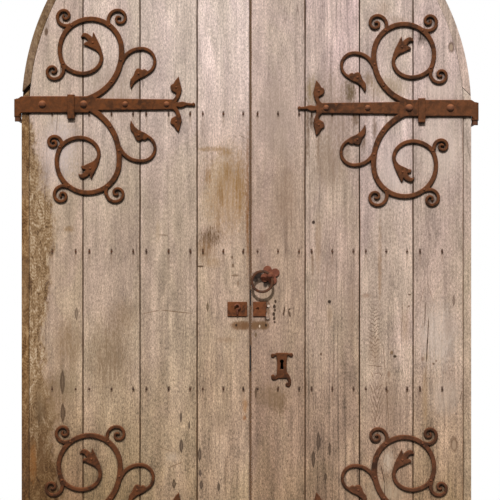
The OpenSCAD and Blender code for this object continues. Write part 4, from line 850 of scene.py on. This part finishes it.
for finish, endings in ironPieces.items():
    material = dressIron(finish)
    for name in nodes:
        if name.endswith(endings):
            setMaterial(name, material)
for name in softenedIron:
    wearEdges(name, ironLook["edge"])
print("ironwork dressed")

# a felt draught strip in the meeting edge of the left leaf
draughtStrip = {
    "depth": (0.014, 0.027), "foot": 0.012, "head": 0.03, "clear": 0.0001, "edge": 0.0012, "segments": 3,
    "shown": paint(130, 92, 58), "fuzz": (900, 500, 3, 0.7), "roughness": 0.95, "relief": (0.5, 0.001),
    "tones": [(0.3, paint(78, 54, 34)), (0.7, paint(140, 102, 68))],
    # the near-black patches on the felt, in the next line, are painted shade where the gap between the leaves lies
    # deepest
    "paintedLighting": [(250.5, 298, 6, 8), (250.5, 359, 6, 13)], "paintedShadeTone": paint(24, 16, 10), "paintedShadeInner": 0.9,
    "paintedShadeDepth": 1.0}


def makeDraughtStrip():
    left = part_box("left_board_4")
    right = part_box("right_board_4")
    x0, x1 = left[1][0] + draughtStrip["clear"], right[0][0] - draughtStrip["clear"]
    y0, y1 = (left[0][1] + d for d in draughtStrip["depth"])
    z0, z1 = draughtStrip["foot"], left[1][2] - draughtStrip["head"]
    mesh = bpy.data.meshes.new("draughtStrip")
    bm = bmesh.new()
    bmesh.ops.create_cube(bm, size=1.0)
    bmesh.ops.scale(bm, vec=(x1 - x0, y1 - y0, z1 - z0), verts=bm.verts)
    bmesh.ops.translate(bm, vec=((x0 + x1) / 2, (y0 + y1) / 2, (z0 + z1) / 2), verts=bm.verts)
    bmesh.ops.bevel(bm, geom=list(bm.edges), offset=draughtStrip["edge"], segments=draughtStrip["segments"],
                    profile=0.5, affect="EDGES", material=-1)
    bm.to_mesh(mesh)
    bm.free()
    piece = bpy.data.objects.new("draughtStrip", mesh)
    bpy.context.scene.collection.objects.link(piece)
    material, tree, shader, place = newMaterial("brownFelt", draughtStrip["shown"])
    fuzz = noise(tree, place, *draughtStrip["fuzz"])
    colour = ramp(tree, fuzz, draughtStrip["tones"])
    # painted shade: near-black patches on the felt where the gap between the leaves lies deepest in shade
    for px, py, wide, tall in draughtStrip["paintedLighting"]:
        mark = placeGroup(tree, spot, {
            "Vector": place, "Rough": 0.0, "Centre": fromPhoto(px, py), "Inner": draughtStrip["paintedShadeInner"],
            "Size": markSize(wide, tall, draughtStrip["paintedShadeDepth"])})
        colour = mixColour(tree, mark["Mask"], colour, draughtStrip["paintedShadeTone"])
    feed(tree, colour, shader.inputs["Base Color"])
    shader.inputs["Roughness"].default_value = draughtStrip["roughness"]
    bump(tree, shader, fuzz, *draughtStrip["relief"])
    mesh.materials.append(material)
    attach(piece, "left_leaf")


makeDraughtStrip()
print("draught strip made")

# studio: white all round, a pale round floor that keeps the shadow, sky light, a high sun and a weaker one behind
studio = {
    "suns": {"highSun": (3.3, (0.1, 1.0, -1.0)), "backSun": (1.9, (0.2, -1.0, -0.6))}, "softness": 3.5,
    "sky": 0.16, "skyColour": (1.0, 0.91, 0.76, 1.0), "floorRadius": 2.3, "floorDrop": 0.004, "floorSides": 96,
    "floorColour": (0.62, 0.62, 0.62, 1.0), "floorRoughness": 0.9}


def makeStudio():
    world = bpy.data.worlds.new("studio")
    bpy.context.scene.world = world
    world.use_nodes = True
    tree = world.node_tree
    tree.nodes.clear()
    rays = tree.nodes.new("ShaderNodeLightPath").outputs
    seen = calc(tree, "MAXIMUM", calc(tree, "MAXIMUM", rays["Is Camera Ray"], rays["Is Glossy Ray"]),
                rays["Is Transmission Ray"])
    sky = addNode(tree, "ShaderNodeBackground", {"Color": studio["skyColour"], "Strength": studio["sky"]})
    white = addNode(tree, "ShaderNodeBackground", {"Color": plain, "Strength": 1.0})
    mix = addNode(tree, "ShaderNodeMixShader", {0: seen, 1: sky.outputs[0], 2: white.outputs[0]})
    addNode(tree, "ShaderNodeOutputWorld", {0: mix.outputs[0]})

    for name, (strength, towards) in studio["suns"].items():
        lamp = bpy.data.lights.new(name, "SUN")
        lamp.energy = strength
        lamp.angle = math.radians(studio["softness"])
        sun = bpy.data.objects.new(name, lamp)
        sun.rotation_euler = Vector(towards).to_track_quat("-Z", "Y").to_euler()
        bpy.context.scene.collection.objects.link(sun)

    mesh = bpy.data.meshes.new("floor")
    bm = bmesh.new()
    bmesh.ops.create_circle(bm, cap_ends=True, segments=studio["floorSides"], radius=studio["floorRadius"])
    bmesh.ops.translate(bm, vec=(0.0, 0.0, -studio["floorDrop"]), verts=bm.verts)
    bm.to_mesh(mesh)
    bm.free()
    floor = bpy.data.objects.new("floor", mesh)
    bpy.context.scene.collection.objects.link(floor)
    material, _, shader, _ = newMaterial("paleFloor", studio["floorColour"])
    shader.inputs["Base Color"].default_value = studio["floorColour"]
    shader.inputs["Roughness"].default_value = studio["floorRoughness"]
    mesh.materials.append(material)


makeStudio()

# the camera faces the doors squarely, at the photograph's framing
view = {"width": 1.65, "lens": 100.0, "sensor": 36.0, "centre": (0.0119, 1.32), "clipEnd": 100.0}
camera = bpy.data.objects.new("camera", bpy.data.cameras.new("camera"))
camera.data.lens = view["lens"]
camera.data.sensor_width = view["sensor"]
camera.data.clip_end = view["clipEnd"]
distance = view["width"] * view["lens"] / view["sensor"]
camera.location = (view["centre"][0], photo["face"] - distance, view["centre"][1])
camera.rotation_euler = (math.radians(90.0), 0.0, 0.0)
bpy.context.scene.collection.objects.link(camera)
bpy.context.scene.camera = camera
bpy.context.scene.view_settings.view_transform = "Standard"
print("studio and camera set")
